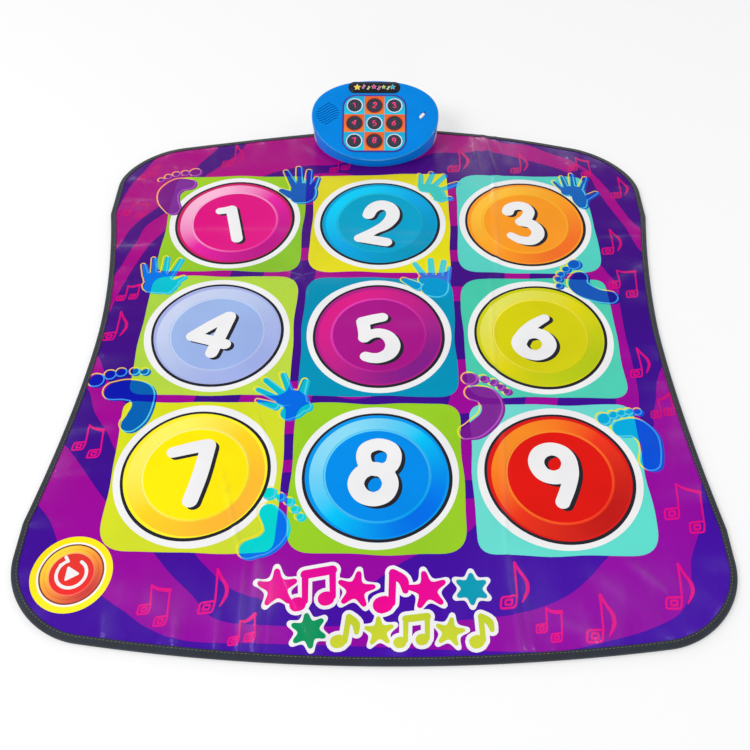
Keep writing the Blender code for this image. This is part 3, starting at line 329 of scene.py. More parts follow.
# Each crease: from, to, half width and height
CREASES = (
    ((166, 440), (184, 322), 5.0, 4.0), ((150, 440), (160, 335), 3.4, 2.2),
    ((186, 446), (196, 372), 3.0, 2.2), ((182, 330), (174, 262), 3.6, 1.8),
    ((180, 300), (170, 100), 4.0, 1.4), ((160, 110), (152, -110), 3.5, 1.2),
    ((158, -110), (148, -330), 3.5, 1.2), ((149, -325), (157, -448), 3.0, 2.4),
    ((163, -340), (166, -446), 2.6, 1.6), ((-134, -325), (-127, -448), 4.0, 2.8),
    ((-148, -335), (-145, -446), 2.6, 1.9), ((-116, -345), (-114, -440), 2.4, 1.4),
    ((-190, -215), (-152, -335), 3.0, 1.2), ((-156, -130), (-132, -190), 3.0, 0.8),
    ((-112, -335), (-70, -425), 2.4, 0.9), ((-330, 199), (-120, 196), 6.0, 0.6),
    ((-70, 197), (110, 189), 6.0, 0.6), ((-80, 176), (100, 173), 5.0, 0.5), ((-180, 100), (60, 96), 6.0, 0.6),
    ((-60, 20), (105, 12), 7.0, 0.4), ((100, 300), (330, 292), 6.0, 0.4),
    ((-412, 158), (-330, 164), 4.0, 1.2), ((-404, -168), (-330, -158), 4.0, 1.2),
    ((-400, -228), (-345, -222), 3.4, 1.0), ((279, -330), (322, -369), 3.6, 1.5),
    ((230, -340), (300, -395), 6.0, 0.9), ((-300, -365), (-215, -400), 8.0, 0.9),
    ((190, -400), (260, -430), 5.0, 0.9), ((322, 185), (397, 190), 4.0, 1.1),
    ((330, 95), (397, 136), 4.0, 1.1), ((-130, 402), (-70, 343), 3.6, 1.2), ((112, 402), (62, 343), 3.6, 1.0),
    ((-295, -395), (-288, -438), 3.0, 1.1), ((-218, -398), (-212, -446), 3.0, 1.3),
    ((-172, -392), (-168, -448), 3.0, 1.2), ((-111, 105), (-150, 118), 2.4, 0.9),
    ((-111, 105), (-118, 150), 2.4, 0.8), ((-111, 105), (-74, 118), 2.4, 0.8),
    ((-111, 105), (-98, 66), 2.4, 0.9), ((-111, 105), (-142, 76), 2.4, 0.8),
)
# Wide patches where the vinyl shines: middle, half width, half depth and strength
PATCHES = (
    (270, 384, 130, 36, 1.0), (170, 355, 50, 60, 0.8), (-350, 290, 60, 90, 0.22), (-240, -392, 130, 40, 0.28),
    (290, -385, 120, 60, 0.35), (150, -390, 40, 60, 0.35), (-130, -395, 36, 60, 0.4),
    (-160, 150, 60, 50, 0.25), (-392, -180, 24, 70, 0.35), (372, -160, 30, 60, 0.3),
)


def crease_rise(points, widen=1.0):
    """How high the creases stand at each point, in millimetres."""
    rise = np.zeros(len(points))
    for a, b, half, height in CREASES:
        a, b = np.array(a, float), np.array(b, float)
        reach = np.clip(((points - a) @ (b - a)) / ((b - a) @ (b - a)), 0, 1)
        off = np.hypot(*(points - a - reach[:, None] * (b - a)).T)
        rise += height * np.exp(-(off / half / widen) ** 2) * (1 - 0.85 * (2 * reach - 1) ** 4)
    return rise


def tucks(away, along):
    """The small folds that the sewn tape draws into the edge, from 0 to 2."""
    tuck = np.sin(along / 7.3 + 2 * np.sin(along / 61)) + np.sin(along / 12.1 + 1.7)
    return np.maximum(0, tuck) * np.exp(-away / 26) * (1 - np.exp(-(away / 9) ** 2))


def swell(points):
    """How high the printed sheet stands above its flat lie, in millimetres."""
    x, y = points.T
    away, along = from_rim(points)
    rise = sum(size * (1 + np.sin(x * across + y * up + start)) for size, across, up, start in WAVES)
    rise += crease_rise(points) + 0.95 * tucks(away, along)
    rise *= 1 - np.exp(-(away / 8) ** 2)
    off = np.hypot((x - CONSOLE_SPOT[0]) / CONSOLE_FLAT[0], (y - CONSOLE_SPOT[1]) / CONSOLE_FLAT[1])
    return rise * np.clip((off - 1) * 4, 0, 1) ** 2


def gleam(points):
    """How much the vinyl shines at each point: along creases and tucks, and in wide patches."""
    shine = 0.45 * crease_rise(points, 1.4) + 0.45 * tucks(*from_rim(points))
    for x, y, half_width, half_depth, strength in PATCHES:
        off = np.hypot((points[:, 0] - x) / half_width, (points[:, 1] - y) / half_depth)
        shine += strength * np.exp(-off ** 2)
    return np.minimum(shine, 1)


print(len(WAVES), "waves,", len(CREASES), "creases and", len(PATCHES), "shining patches")

# %% [markdown]
# ## Flat areas of ink
# The print is geometry, not a picture: each motif is a closed outline that is cut into the sheet's mesh, so
# its edge stays sharp at any distance. A Shape holds its outline loops and a test of which points lie in it.

# %% Shapes of ink
class Shape:
    """One area of ink: its outline loops, and a test of which points lie in it."""

    def __init__(self, loops, holds):
        self.loops, self.holds = loops, holds
        every = np.concatenate(loops)
        self.low, self.high = every.min(0) - 0.1, every.max(0) + 0.1

    def covers(self, points):
        """Which points lie in the shape. Only those near it are tested."""
        near = np.all((points > self.low) & (points < self.high), axis=1)
        near[near] = self.holds(points[near])
        return near


def area(loop):
    """The shape inside one closed outline."""
    loop = np.array(loop, float)

    def holds(points):
        x, y = points.T
        inside = np.zeros(len(points), bool)
        for (ax, ay), (bx, by) in zip(loop, np.roll(loop, -1, axis=0)):
            if ay != by:
                inside ^= ((ay > y) != (by > y)) & (x < ax + (y - ay) * (bx - ax) / (by - ay))
        return inside

    return Shape([loop], holds)


def union(*shapes):
    """Several shapes as one."""
    loops = [loop for shape in shapes for loop in shape.loops]
    return Shape(loops, lambda points: np.any([shape.covers(points) for shape in shapes], axis=0))


def ring_points(centre, radius, count=72, wobble=0.0, seed=0.0):
    """A circle as a hand would draw it: its radius wanders a little."""
    turn = np.linspace(0, 2 * math.pi, count, endpoint=False)
    wander = np.sin(2 * turn + seed) + 0.6 * np.sin(3 * turn + 2.1 * seed)
    wander += 0.35 * np.sin(5 * turn + 3.7 * seed)
    size = radius + wobble * wander
    return np.asarray(centre) + size[:, None] * np.stack([np.cos(turn), np.sin(turn)], 1)


def round_area(centre, radius, count=72, wobble=0.0, seed=0.0):
    """The shape inside such a circle."""
    return area(ring_points(centre, radius, count, wobble, seed))


def spline(points, closed=False, step=2.4):
    """A smooth line through (x, y, half width) points, sampled about every step."""
    points = np.array(points, float)
    count = len(points)
    made = []
    for i in range(count if closed else count - 1):
        picks = [(i + k) % count if closed else min(max(i + k, 0), count - 1) for k in (-1, 0, 1, 2)]
        a, b, c, d = points[picks]
        parts = max(2, int(math.hypot(*(c - b)[:2]) / step))
        for t in np.arange(parts) / parts:
            curve = 2 * b + (c - a) * t + (2 * a - 5 * b + 4 * c - d) * t**2 + (3 * b - a - 3 * c + d) * t**3
            made.append(0.5 * curve)
    return np.array(made if closed else made + [points[-1]])


def stroke(points, closed=False, step=2.4, smooth=True):
    """A round brush stroke along (x, y, half width) points."""
    line = spline(points, closed, step) if smooth else np.array(points, float)
    place, half = line[:, :2], np.maximum(line[:, 2], 0.15)
    if closed:
        side = outward(place) * half[:, None]
        loops = [place + side, place - side]
        place, half = np.vstack([place, place[:1]]), np.append(half, half[0])
    else:
        run = np.gradient(place, axis=0)
        side = np.stack([-run[:, 1], run[:, 0]], 1) / np.hypot(*run.T)[:, None]
        caps = []
        for end, start in ((-1, 0), (0, math.pi)):
            base = math.atan2(side[end, 1], side[end, 0]) + start
            turns = base - math.pi * np.arange(1, 8) / 8
            caps.append(place[end] + half[end] * np.stack([np.cos(turns), np.sin(turns)], 1))
        over = side * half[:, None]
        loops = [np.vstack([place + over, caps[0], (place - over)[::-1], caps[1]])]

    def holds(points):
        inside = np.zeros(len(points), bool)
        for a, b, start, end in zip(place, place[1:], half, half[1:]):
            reach = np.clip(((points - a) @ (b - a)) / max((b - a) @ (b - a), 1e-9), 0, 1)
            inside |= np.hypot(*(points - a - reach[:, None] * (b - a)).T) < start + reach * (end - start)
        return inside

    return Shape(loops, holds)


def placed(strokes, at, turn=0.0, size=1.0, grow=0.0, shift=(0, 0), closed=(), step=2.4):
    """Brush strokes drawn about an origin, then turned, sized, moved and made fatter or thinner."""
    c, s = math.cos(math.radians(turn)) * size, math.sin(math.radians(turn)) * size
    made = []
    for i, points in enumerate(strokes):
        moved = [(at[0] + shift[0] + x * c - y * s, at[1] + shift[1] + x * s + y * c, r * size + grow)
                 for x, y, r in points]
        made.append(stroke(moved, closed=i in closed, step=step))
    return union(*made)


# %% [markdown]
# ## Inks
# An Ink is a flat colour, or a printed shade from one colour to another: along a direction, or round a pad
# from its lit upper left to its dark lower right, with a third colour half way.

# %% Inks
WAYS = {"up": (0.0, 1.0), "slope": (0.71, -0.71), "lean": (-0.25, 0.97)}


class Ink:
    """A flat or a shaded colour. Its number stands for it in the cut sheet."""

    table = []

    def __init__(self, first, last=None, way="flat", centre=(0, 0), reach=100.0, middle=None):
        self.first = np.array(paint(*first)[:3])
        self.last = np.array(paint(*(last or first))[:3])
        self.middle = np.array(paint(*middle)[:3]) if middle else (self.first + self.last) / 2
        self.way, self.centre, self.reach = way, np.array(centre, float), reach
        self.number = len(Ink.table)
        Ink.table.append(self)

    def colours(self, points):
        """The ink's colour at each point."""
        off = points - self.centre
        if self.way == "turn":
            share = 0.5 + 0.5 * np.cos(np.arctan2(off[..., 1], off[..., 0]) + math.radians(45))
        elif self.way == "flat":
            share = np.zeros(points.shape[:-1])
        else:
            share = np.clip(0.5 + off @ np.array(WAYS[self.way]) / (2 * self.reach), 0, 1)
        early, late = np.clip(2 * share, 0, 1)[..., None], np.clip(2 * share - 1, 0, 1)[..., None]
        return self.first + (self.middle - self.first) * early + (self.last - self.middle) * late


def number_of(ink, below):
    """An ink, or for a motif that changes with what lies under it, the one of several that fits."""
    *cases, other = (ink,) if isinstance(ink, Ink) else ink
    made = np.full(len(below), other.number)
    for under, over in cases:
        made[np.isin(below, under)] = over.number
    return made


FINE_STEP = 2.2


def bendable(loop):
    """An outline with more points where it lies in a fold."""
    made = []
    for a, b in zip(loop, np.roll(loop, -1, axis=0)):
        near = [FOLD_FLAT - FOLD_MARGIN < abs(x) < FOLD_END + FOLD_MARGIN
                for x in (a[0], (a[0] + b[0]) / 2, b[0])]
        parts = max(1, math.ceil(math.hypot(*(b - a)) / FINE_STEP)) if any(near) else 1
        made += [a + (b - a) * i / parts for i in range(parts)]
    return np.array(made)


def cut_print(outline, layers, spots, holes=()):
    """Cuts every layer's outline into a flat sheet. Returns its points, triangles and an ink for each."""
    loops = [outline] + [hole.loops[0] for hole in holes]
    loops += [loop for shape, _ in layers for loop in shape.loops]
    loops = [bendable(loop) for loop in loops]
    points, edges = [], []
    for loop in loops:
        first = len(points)
        points += loop.tolist()
        edges += [(first + i, first + (i + 1) % len(loop)) for i in range(len(loop))]
    points += spots.tolist()
    flat, _, faces, *_ = delaunay_2d_cdt([Vector(p) for p in points], edges, [], 0, 1e-4)
    flat = np.array([tuple(p) for p in flat])
    faces = np.array(faces)
    middles = flat[faces].mean(1)
    kept = area(outline).covers(middles)
    for hole in holes:
        kept &= ~hole.covers(middles)
    faces, middles = faces[kept], middles[kept]
    inks = np.zeros(len(faces), int)
    for shape, ink in layers:
        over = shape.covers(middles)
        inks[over] = number_of(ink, inks[over])
    return flat, faces, inks


def ink_colours(flat, faces, inks):
    """A colour for each corner of each triangle."""
    made = np.ones((len(faces), 3, 4))
    for ink in Ink.table:
        chosen = inks == ink.number
        if chosen.any():
            made[chosen, :, :3] = ink.colours(flat[faces[chosen]])
    return made


PALE_BACK = (0.72, 0.72, 0.70, 1)


def printed_sheet(name, flat, faces, inks, top, thickness, lie=None, back=PALE_BACK):
    """A closed thin sheet, its print on top as a colour attribute, raised by lie(points)."""
    used = np.unique(faces)
    place = np.full(len(flat), -1)
    place[used] = np.arange(len(used))
    colours = ink_colours(flat, faces, inks)
    flat, faces = flat[used], place[faces]
    count = len(flat)
    rise = lie(flat) if lie else np.zeros(count)
    upper = np.column_stack([flat, top + rise])
    lower = np.column_stack([flat, top - thickness + rise])
    corners = np.concatenate([faces[:, [0, 1]], faces[:, [1, 2]], faces[:, [2, 0]]])
    keys = corners[:, 0] * count + corners[:, 1]
    back_keys = corners[:, 1] * count + corners[:, 0]
    is_open = ~np.isin(keys, back_keys)
    open_edges = corners[is_open]
    first, last = open_edges.T
    sides = np.column_stack([last, first, first + count, last + count])
    mesh = bpy.data.meshes.new(name)
    polygons = faces.tolist() + (faces[:, ::-1] + count).tolist() + sides.tolist()
    mesh.from_pydata((np.concatenate([upper, lower]) * MM).tolist(), [], polygons)
    attribute = mesh.color_attributes.new("print", "FLOAT_COLOR", "CORNER")
    plain = np.tile(np.array(back), (len(faces) * 3, 1))
    cut = np.tile(np.array(back), (len(sides) * 4, 1))
    if lie:
        # The cover and its discs look like one sheet, so a cut side goes on with the print beside it
        ends = np.concatenate([colours[:, [0, 1]], colours[:, [1, 2]], colours[:, [2, 0]]])[is_open]
        cut = ends[:, [1, 0, 0, 1]].reshape(-1, 4)
    inked = np.concatenate([colours.reshape(-1, 4), plain, cut]).astype(np.float32)
    attribute.data.foreach_set("color", inked.ravel())
    mesh.polygons.foreach_set("use_smooth", [True] * (2 * len(faces)) + [False] * len(sides))
    if lie:
        mesh.attributes.new("gleam", "FLOAT", "POINT").data.foreach_set("value", np.tile(gleam(flat), 2))
        probe = 0.5
        slope = [(lie(flat + step) - lie(flat - step)) / (2 * probe) for step in ((probe, 0), (0, probe))]
        normals = np.column_stack([-slope[0], -slope[1], np.ones(count)])
        normals /= np.linalg.norm(normals, axis=1)[:, None]
        above, below = normals[faces.ravel()], -normals[faces[:, ::-1].ravel()]
        mesh.normals_split_custom_set(np.concatenate([above, below, np.zeros((len(sides) * 4, 3))]).tolist())
    mesh.update()
    print(name, len(polygons), "faces")
    return linked(bpy.data.objects.new(name, mesh))


# %% [markdown]
# ## The swirl behind the squares
# Wide purple bands swirl over the magenta ground and show in the gaps between the squares. Each is a closed
# smooth outline, drawn on the mat in millimetres. The short ones in the gaps are four-cornered.

# %% Ground bands
MAGENTA = Ink((144, 6, 162), (168, 4, 126), "lean", (0, -40), 380, (158, 2, 144))
PURPLE = Ink((68, 12, 164), (72, 10, 122), "lean", (0, -60), 360, (58, 8, 132))
NOTE_PINK = Ink((228, 10, 136), (204, 4, 108), "up", (0, -60), 380)
NOTE_FAINT = Ink((206, 4, 124), (192, 2, 108), "up", (0, -60), 380)
# The bands' outlines, from the rear left round by the front to the rear right
BANDS = (
    ((-350, 390), (-364, 366), (-372, 348), (-382, 324), (-392, 300), (-400, 270), (-407, 238), (-440, 240),
     (-445, 400)),
    ((-300, 318), (-294, 346), (-284, 364), (-268, 388), (-262, 425), (-214, 430), (-222, 402), (-232, 380),
     (-246, 361), (-262, 341), (-278, 324), (-284, 312)),
    ((-322, 266), (-345, 245), (-375, 203), (-391, 152), (-425, 140), (-420, 85), (-394, 82), (-379, 112),
     (-370, 146), (-361, 175), (-354, 206), (-331, 234), (-314, 250)),
    ((-300, 215), (-328, 190), (-345, 157), (-361, 106), (-372, 55), (-377, 32), (-402, 20), (-402, -36),
     (-378, -40), (-356, -80), (-340, -102), (-324, -120), (-300, -130)),
    ((-408, -84), (-378, -97), (-361, -134), (-338, -166), (-321, -194), (-296, -212), (-296, -284),
     (-326, -256), (-347, -231), (-370, -203), (-391, -181), (-425, -160)),
    ((-430, -240), (-400, -268), (-380, -290), (-350, -340), (-305, -377), (-275, -396), (-245, -415),
     (-199, -429), (-100, -431), (0, -433), (100, -436), (190, -436), (250, -424), (300, -409), (334, -390),
     (350, -358), (357, -328), (374, -292), (384, -260), (391, -228), (430, -200), (440, -480), (-440, -480)),
    ((-262, -312), (-249, -332), (-228, -355), (-202, -378), (-184, -398), (-160, -408), (-110, -411),
     (-60, -411), (0, -410), (60, -406), (120, -400), (150, -396), (182, -387), (211, -374), (236, -355),
     (254, -336), (266, -318), (230, -292), (130, -284), (106, -298), (70, -316), (38, -331), (17, -345),
     (-10, -365), (-50, -381), (-96, -386), (-130, -381), (-160, -370), (-176, -358), (-190, -345),
     (-206, -328), (-216, -306)),
    ((-190, 316), (-176, 328), (-148, 340), (-115, 350), (-80, 351), (-58, 358), (-30, 372), (20, 372),
     (53, 365), (74, 377), (97, 384), (132, 383), (165, 386), (198, 380), (233, 367), (276, 349), (300, 334),
     (322, 322), (300, 300), (120, 296), (0, 306), (-26, 321), (-45, 328), (-61, 332), (-94, 331),
     (-130, 322)),
    ((148, 450), (166, 428), (200, 409), (240, 402), (276, 383), (305, 367), (330, 343), (346, 320),
     (360, 288), (372, 250), (392, 208), (430, 200), (440, 480), (140, 480)),
    ((306, 336), (330, 331), (341, 290), (355, 250), (370, 210), (384, 162), (410, 130), (404, -34),
     (378, -52), (364, -80), (357, -110), (349, -132), (347, -150), (333, -160), (333, -128), (337, -96),
     (337, -50), (336, 0), (337, 40), (338, 66), (341, 86), (336, 100), (328, 116), (321, 131), (306, 140)),
)
# Between the squares: left, front, right and rear of each purple stretch, with slanting ends
GAPS = (
    (-236, -120, -178, -102), (-86, -120, 92, -102), (160, -120, 190, -102), (231, -120, 306, -102),
    (-214, 100, -166, 122), (-128, 84, -92, 138), (92, 86, 180, 122), (96, 100, 128, 138),
    (217, 100, 253, 122), (-122, 162, -98, 258), (-122, -84, -98, 96), (-122, -204, -98, -164),
    (-122, -250, -98, -219), (98, 159, 122, 212), (98, -46, 122, 60), (98, -172, 122, -131),
    (98, -255, 122, -228),
)
ground = [(area(spline(points, closed=True, step=6)), PURPLE) for points in BANDS]
ground += [(area([(a - 2, b), (c - 2, b + 2), (c + 2, d), (a + 2, d - 2)]), PURPLE) for a, b, c, d in GAPS]
ground.append((stroke([(-52, -107, 1), (-32, -108.5, 3), (-10, -107, 1)]), MAGENTA))
print(len(BANDS), "bands and", len(GAPS), "stretches between the squares")

# %% Notes on the ground
NOTE_HEAD = (
    (-9.6, -6.4, 1.3), (-9.2, -1, 1.3), (-8.2, 4.2, 1.3), (-5.6, 6, 1.4), (1.5, 6.9, 1.4), (8.4, 7.8, 1.3),
    (9.4, 6.4, 1.3), (8.6, 0.5, 1.3), (7.2, -4.8, 1.3), (4.6, -6.5, 1.4), (-2, -7.2, 1.4), (-8.2, -7.8, 1.4),
)


def note_head(at, size):
    """A squarish ring with a smaller one inside, as strokes about a point."""
    thin = 0.5 + size / 2
    return [[(at[0] + x * k * size, at[1] + y * k * size, r * thin) for x, y, r in NOTE_HEAD]
            for k in (1, 0.42)]


def quaver(head, top, ink=NOTE_PINK):
    """One note: its head, a stem up to its top and a curved flag."""
    size = math.hypot(top[0] - head[0], top[1] - head[1]) / 45
    turn = math.degrees(math.atan2(top[1] - head[1], top[0] - head[0])) - 79
    stem = [(8.8, 6, 1.2), (8.8, 24, 1.2), (8.5, 44, 1.4)]
    flag = [(8.7, 44, 1.5), (13.5, 34, 1.6), (19.5, 24, 2.1), (20.5, 15, 2.1), (17.5, 7, 1.6), (14, 0.5, 0.7)]
    return placed((*note_head((0, 0), 0.88), stem, flag), head, turn, size, closed=(0, 1)), ink


def pair(first, second, first_top, second_top, size, ink=NOTE_PINK):
    """Two notes under one beam, each with its own head and the top of its stem."""
    strokes = note_head(first, size) + note_head(second, size)
    for (x, y), top in ((first, first_top), (second, second_top)):
        foot = x + 9.3 * size
        strokes.append([(foot, y + 7 * size, 1.1), ((foot + top[0]) / 2, (y + top[1]) / 2, 1.1), (*top, 1.2)])
    (ax, ay), (bx, by) = first_top, second_top
    strokes.append([(ax, ay, 1.0), (ax + 0.3 * (bx - ax), ay + 0.3 * (by - ay) - 2.6, 1.9),
                    (ax + 0.7 * (bx - ax), ay + 0.7 * (by - ay) - 2.0, 2.2), (bx, by - 0.6, 2.4)])
    return placed(strokes, (0, 0), closed=(0, 1, 2, 3)), ink


ground += [
    pair((-377, 318), (-363, 327), (-370, 341), (-355, 350), 0.7, NOTE_FAINT),
    quaver((-246, 353), (-237, 400), NOTE_FAINT),
    pair((-389, 236), (-367, 232), (-381, 259), (-359, 256), 0.7, NOTE_FAINT),
    pair((-364, 61), (-347, 64), (-358, 84), (-342, 87), 0.62),
    quaver((-367, -9), (-359, 35)), pair((-370, -185), (-349, -196), (-363, -154), (-344, -161), 0.78),
    pair((-253, -394), (-233, -407), (-249, -366), (-228, -371), 0.72), quaver((-185, -391), (-178, -346)),
    pair((-151, -428), (-134, -424), (-146, -407), (-131, -399), 0.6), quaver((146, -382), (156, -335)),
    pair((179, -411), (194, -421), (186, -388), (202, -392), 0.64), quaver((235, -419), (247, -372)),
    quaver((327, -381), (340, -335)), pair((346, -272), (372, -289), (358, -232), (384, -243), 0.95),
    pair((354, -131), (371, -127), (360, -108), (377, -98), 0.72, NOTE_FAINT), quaver((340, -66), (347, -24)),
    pair((336, 92), (358, 75), (343, 120), (369, 118), 0.85), quaver((337, 160), (346, 205)),
    quaver((368, 282), (377, 324)), pair((309, 346), (328, 331), (316, 372), (335, 363), 0.78),
    quaver((217, 340), (226, 381)),
    quaver((118, 343), (129, 392)), pair((-74, 340), (-56, 346), (-68, 360), (-50, 368), 0.7, NOTE_FAINT),
]
print(len(ground), "ground motifs")

# %% [markdown]
# ## Squares, rings and outlines
# Each pad stands in a square that looks cut out by hand: its corners have unequal rounds and its sides
# wander. A white ring, a dark brush line, a thin band and a wide shaded ring lie round the touch disc, whose
# edge is a bright line.

# %% Squares and rings
WHITE = Ink((238, 238, 238))
OUTLINE = Ink((34, 36, 44))
# For each pad: its square's two shades, then how round and how far moved each corner is. The corners follow
# each other from the rear right round by the rear left
CORNERS = ((1, 1), (-1, 1), (-1, -1), (1, -1))
SQUARES = (
    ((158, 204, 36), (136, 192, 44), (14, 20, 16, 28), ((0, 0), (3, -3), (0, 0), (0, 0))),
    ((222, 212, 40), (228, 222, 22), (14, 14, 34, 18), ((2, 9), (3, 1), (0, 0), (0, 0))),
    ((92, 208, 196), (84, 208, 192), (18, 44, 30, 32), ((-3, 0), (4, 6), (0, 0), (0, 0))),
    ((168, 210, 66), (188, 216, 66), (32, 20, 18, 22), ((0, 2), (0, 0), (0, 0), (0, 0))),
    ((0, 142, 178), (0, 146, 184), (30, 32, 20, 26), ((0, 0), (0, 0), (0, 0), (0, 0))),
    ((70, 200, 168), (80, 208, 180), (18, 34, 30, 26), ((-2, 0), (0, 0), (0, 0), (0, 0))),
    ((214, 222, 30), (204, 218, 50), (18, 14, 36, 18), ((0, 0), (0, 0), (6, 0), (0, 0))),
    ((150, 206, 36), (150, 202, 40), (26, 28, 30, 34), ((0, 0), (0, 0), (0, 0), (0, 0))),
    ((112, 216, 206), (96, 220, 204), (22, 24, 22, 34), ((0, 0), (0, 0), (0, 0), (0, 0))),
)
# For each pad, from its lit upper left round to its dark lower right: the ring's three shades, and the bright
# line's two. Then the thin band's shade, and the disc's two shades
RINGS = (
    (((250, 187, 216), (232, 36, 162), (186, 14, 134)), ((250, 180, 216), (235, 50, 160)),
     (204, 30, 100), ((221, 12, 126), (222, 20, 132))),
    (((8, 206, 246), (4, 164, 226), (0, 148, 186)), ((30, 190, 220), (10, 160, 200)),
     (4, 158, 205), ((0, 160, 196), (0, 160, 202))),
    (((252, 192, 60), (250, 163, 38), (242, 112, 38)), ((255, 190, 45), (250, 165, 38)),
     (250, 156, 42), ((248, 156, 34), (248, 152, 38))),
    (((200, 210, 238), (177, 192, 230), (158, 172, 228)), ((195, 214, 243), (175, 190, 235)),
     (165, 175, 225), ((156, 182, 230), (152, 176, 228))),
    (((222, 30, 136), (190, 34, 136), (130, 28, 136)), ((232, 66, 182), (172, 26, 136)),
     (178, 33, 134), ((170, 22, 136), (166, 20, 134))),
    (((226, 226, 95), (225, 214, 20), (180, 198, 22)), ((246, 232, 80), (210, 205, 20)),
     (205, 208, 20), ((214, 208, 12), (210, 206, 18))),
    (((254, 244, 100), (253, 212, 34), (252, 182, 52)), ((255, 246, 130), (252, 225, 40)),
     (253, 238, 45), ((253, 235, 6), (252, 231, 14))),
    (((138, 216, 243), (3, 197, 246), (0, 110, 230)), ((100, 210, 247), (6, 165, 240)),
     (4, 150, 235), ((0, 140, 232), (0, 138, 232))),
    (((251, 143, 36), (240, 55, 30), (194, 26, 22)), ((251, 148, 46), (245, 60, 32)),
     (220, 28, 24), ((225, 22, 16), (222, 24, 16))),
)
PADS = [np.array(((i % 3 - 1) * PITCH, (1 - i // 3) * PITCH - SETBACK)) for i in range(9)]
# Half a square's side, then the radius of the white ring, the brush line, the thin band, the shaded ring, the
# bright line and the touch disc's face
HALF_SQUARE, WHITE_RING, BRUSH_LINE, THIN_BAND = 104.5, 99.0, 90.5, 86.7
SHADED_RING, BRIGHT_LINE, DISC_FACE = 83.2, 65.9, 62.6


def hand_cut(centre, rounds, moves, seed):
    """A square's outline with uneven corners and wandering sides."""
    corners = [np.array((sx * HALF_SQUARE + mx, sy * HALF_SQUARE + my))
               for (sx, sy), (mx, my) in zip(CORNERS, moves)]
    made = []
    for i, corner in enumerate(corners):
        before, after = corners[i - 1] - corner, corners[(i + 1) % 4] - corner
        a = corner + before / np.hypot(*before) * rounds[i]
        b = corner + after / np.hypot(*after) * rounds[i]
        made += [(1 - t) ** 2 * a + 2 * t * (1 - t) * corner + t * t * b for t in np.linspace(0, 1, 9)]
        end = corners[(i + 1) % 4] - after / np.hypot(*after) * rounds[(i + 1) % 4]
        made += [b + (end - b) * t for t in np.linspace(0, 1, 14)[1:-1]]
    loop = np.array(made)
    turn = np.arctan2(loop[:, 1], loop[:, 0])
    wander = 0.9 * np.sin(5 * turn + seed) + 0.6 * np.sin(9 * turn + 2.3 * seed)
    return centre + loop + outward(loop) * wander[:, None]


squares, rings, disc_prints = [], [], []
for i, (centre, (lit, dark, rounds, moves), shades) in enumerate(zip(PADS, SQUARES, RINGS)):
    squares.append((area(hand_cut(centre, rounds, moves, 1.3 * i)), Ink(lit, dark, "slope", centre, 105)))
    squares.append((round_area(centre, WHITE_RING, 96, 0.6, 0.9 * i), WHITE))
    (lit, mid, dark), (line_lit, line_last), band_shade, (disc_lit, disc_last) = shades
    ring_ink = Ink(lit, dark, "turn", centre, middle=mid)
    line_ink = Ink(line_lit, line_last, "turn", centre)
    disc_ink = Ink(disc_lit, disc_last, "slope", centre, 60)
    rings.append((round_area(centre + (0.3, -0.4), BRUSH_LINE, 96, 0.6, 1.1 * i), OUTLINE))
    rings.append((round_area(centre, THIN_BAND, 96, 0.5, 1.1 * i), Ink(band_shade)))
    rings.append((round_area(centre + (1.0, -1.2), SHADED_RING, 96), ring_ink))
    rings.append((round_area(centre, BRIGHT_LINE, 72), line_ink))
    disc_prints.append(((round_area(centre, DISC_FACE, 72), disc_ink), line_ink))
print(len(squares) // 2, "squares and", len(rings), "rings")

# %% [markdown]
# ## Hand and foot prints
# Children's hand and foot prints lie over the corners of the squares. Each is a few round strokes: palm,
# fingers and thumb, or sole and toes. A print is blue over the ground and lighter over a square, as thin ink
# is. A fine line of the same outline is printed over it, a little off to the upper left: yellow beside the
# print and pale across it.

# %% Prints of hands and feet
# The fine line: how far off it is printed, and how far it reaches outside and inside the print's own edge
LINE_SHIFT, LINE_OUT, LINE_IN = (-3.1, 2.0), 0.5, -1.5


def print_inks(ground_shade, square_shade, toes=None):
    """One print's inks: over the ground, over a square or its white ring, and of its toes if they differ."""
    square_ink = square_shade if isinstance(square_shade, Ink) else Ink(square_shade)
    return Ink(ground_shade), square_ink, toes and Ink(toes)


GROUND_INKS = [ink.number for ink in (MAGENTA, PURPLE, NOTE_PINK, NOTE_FAINT)]
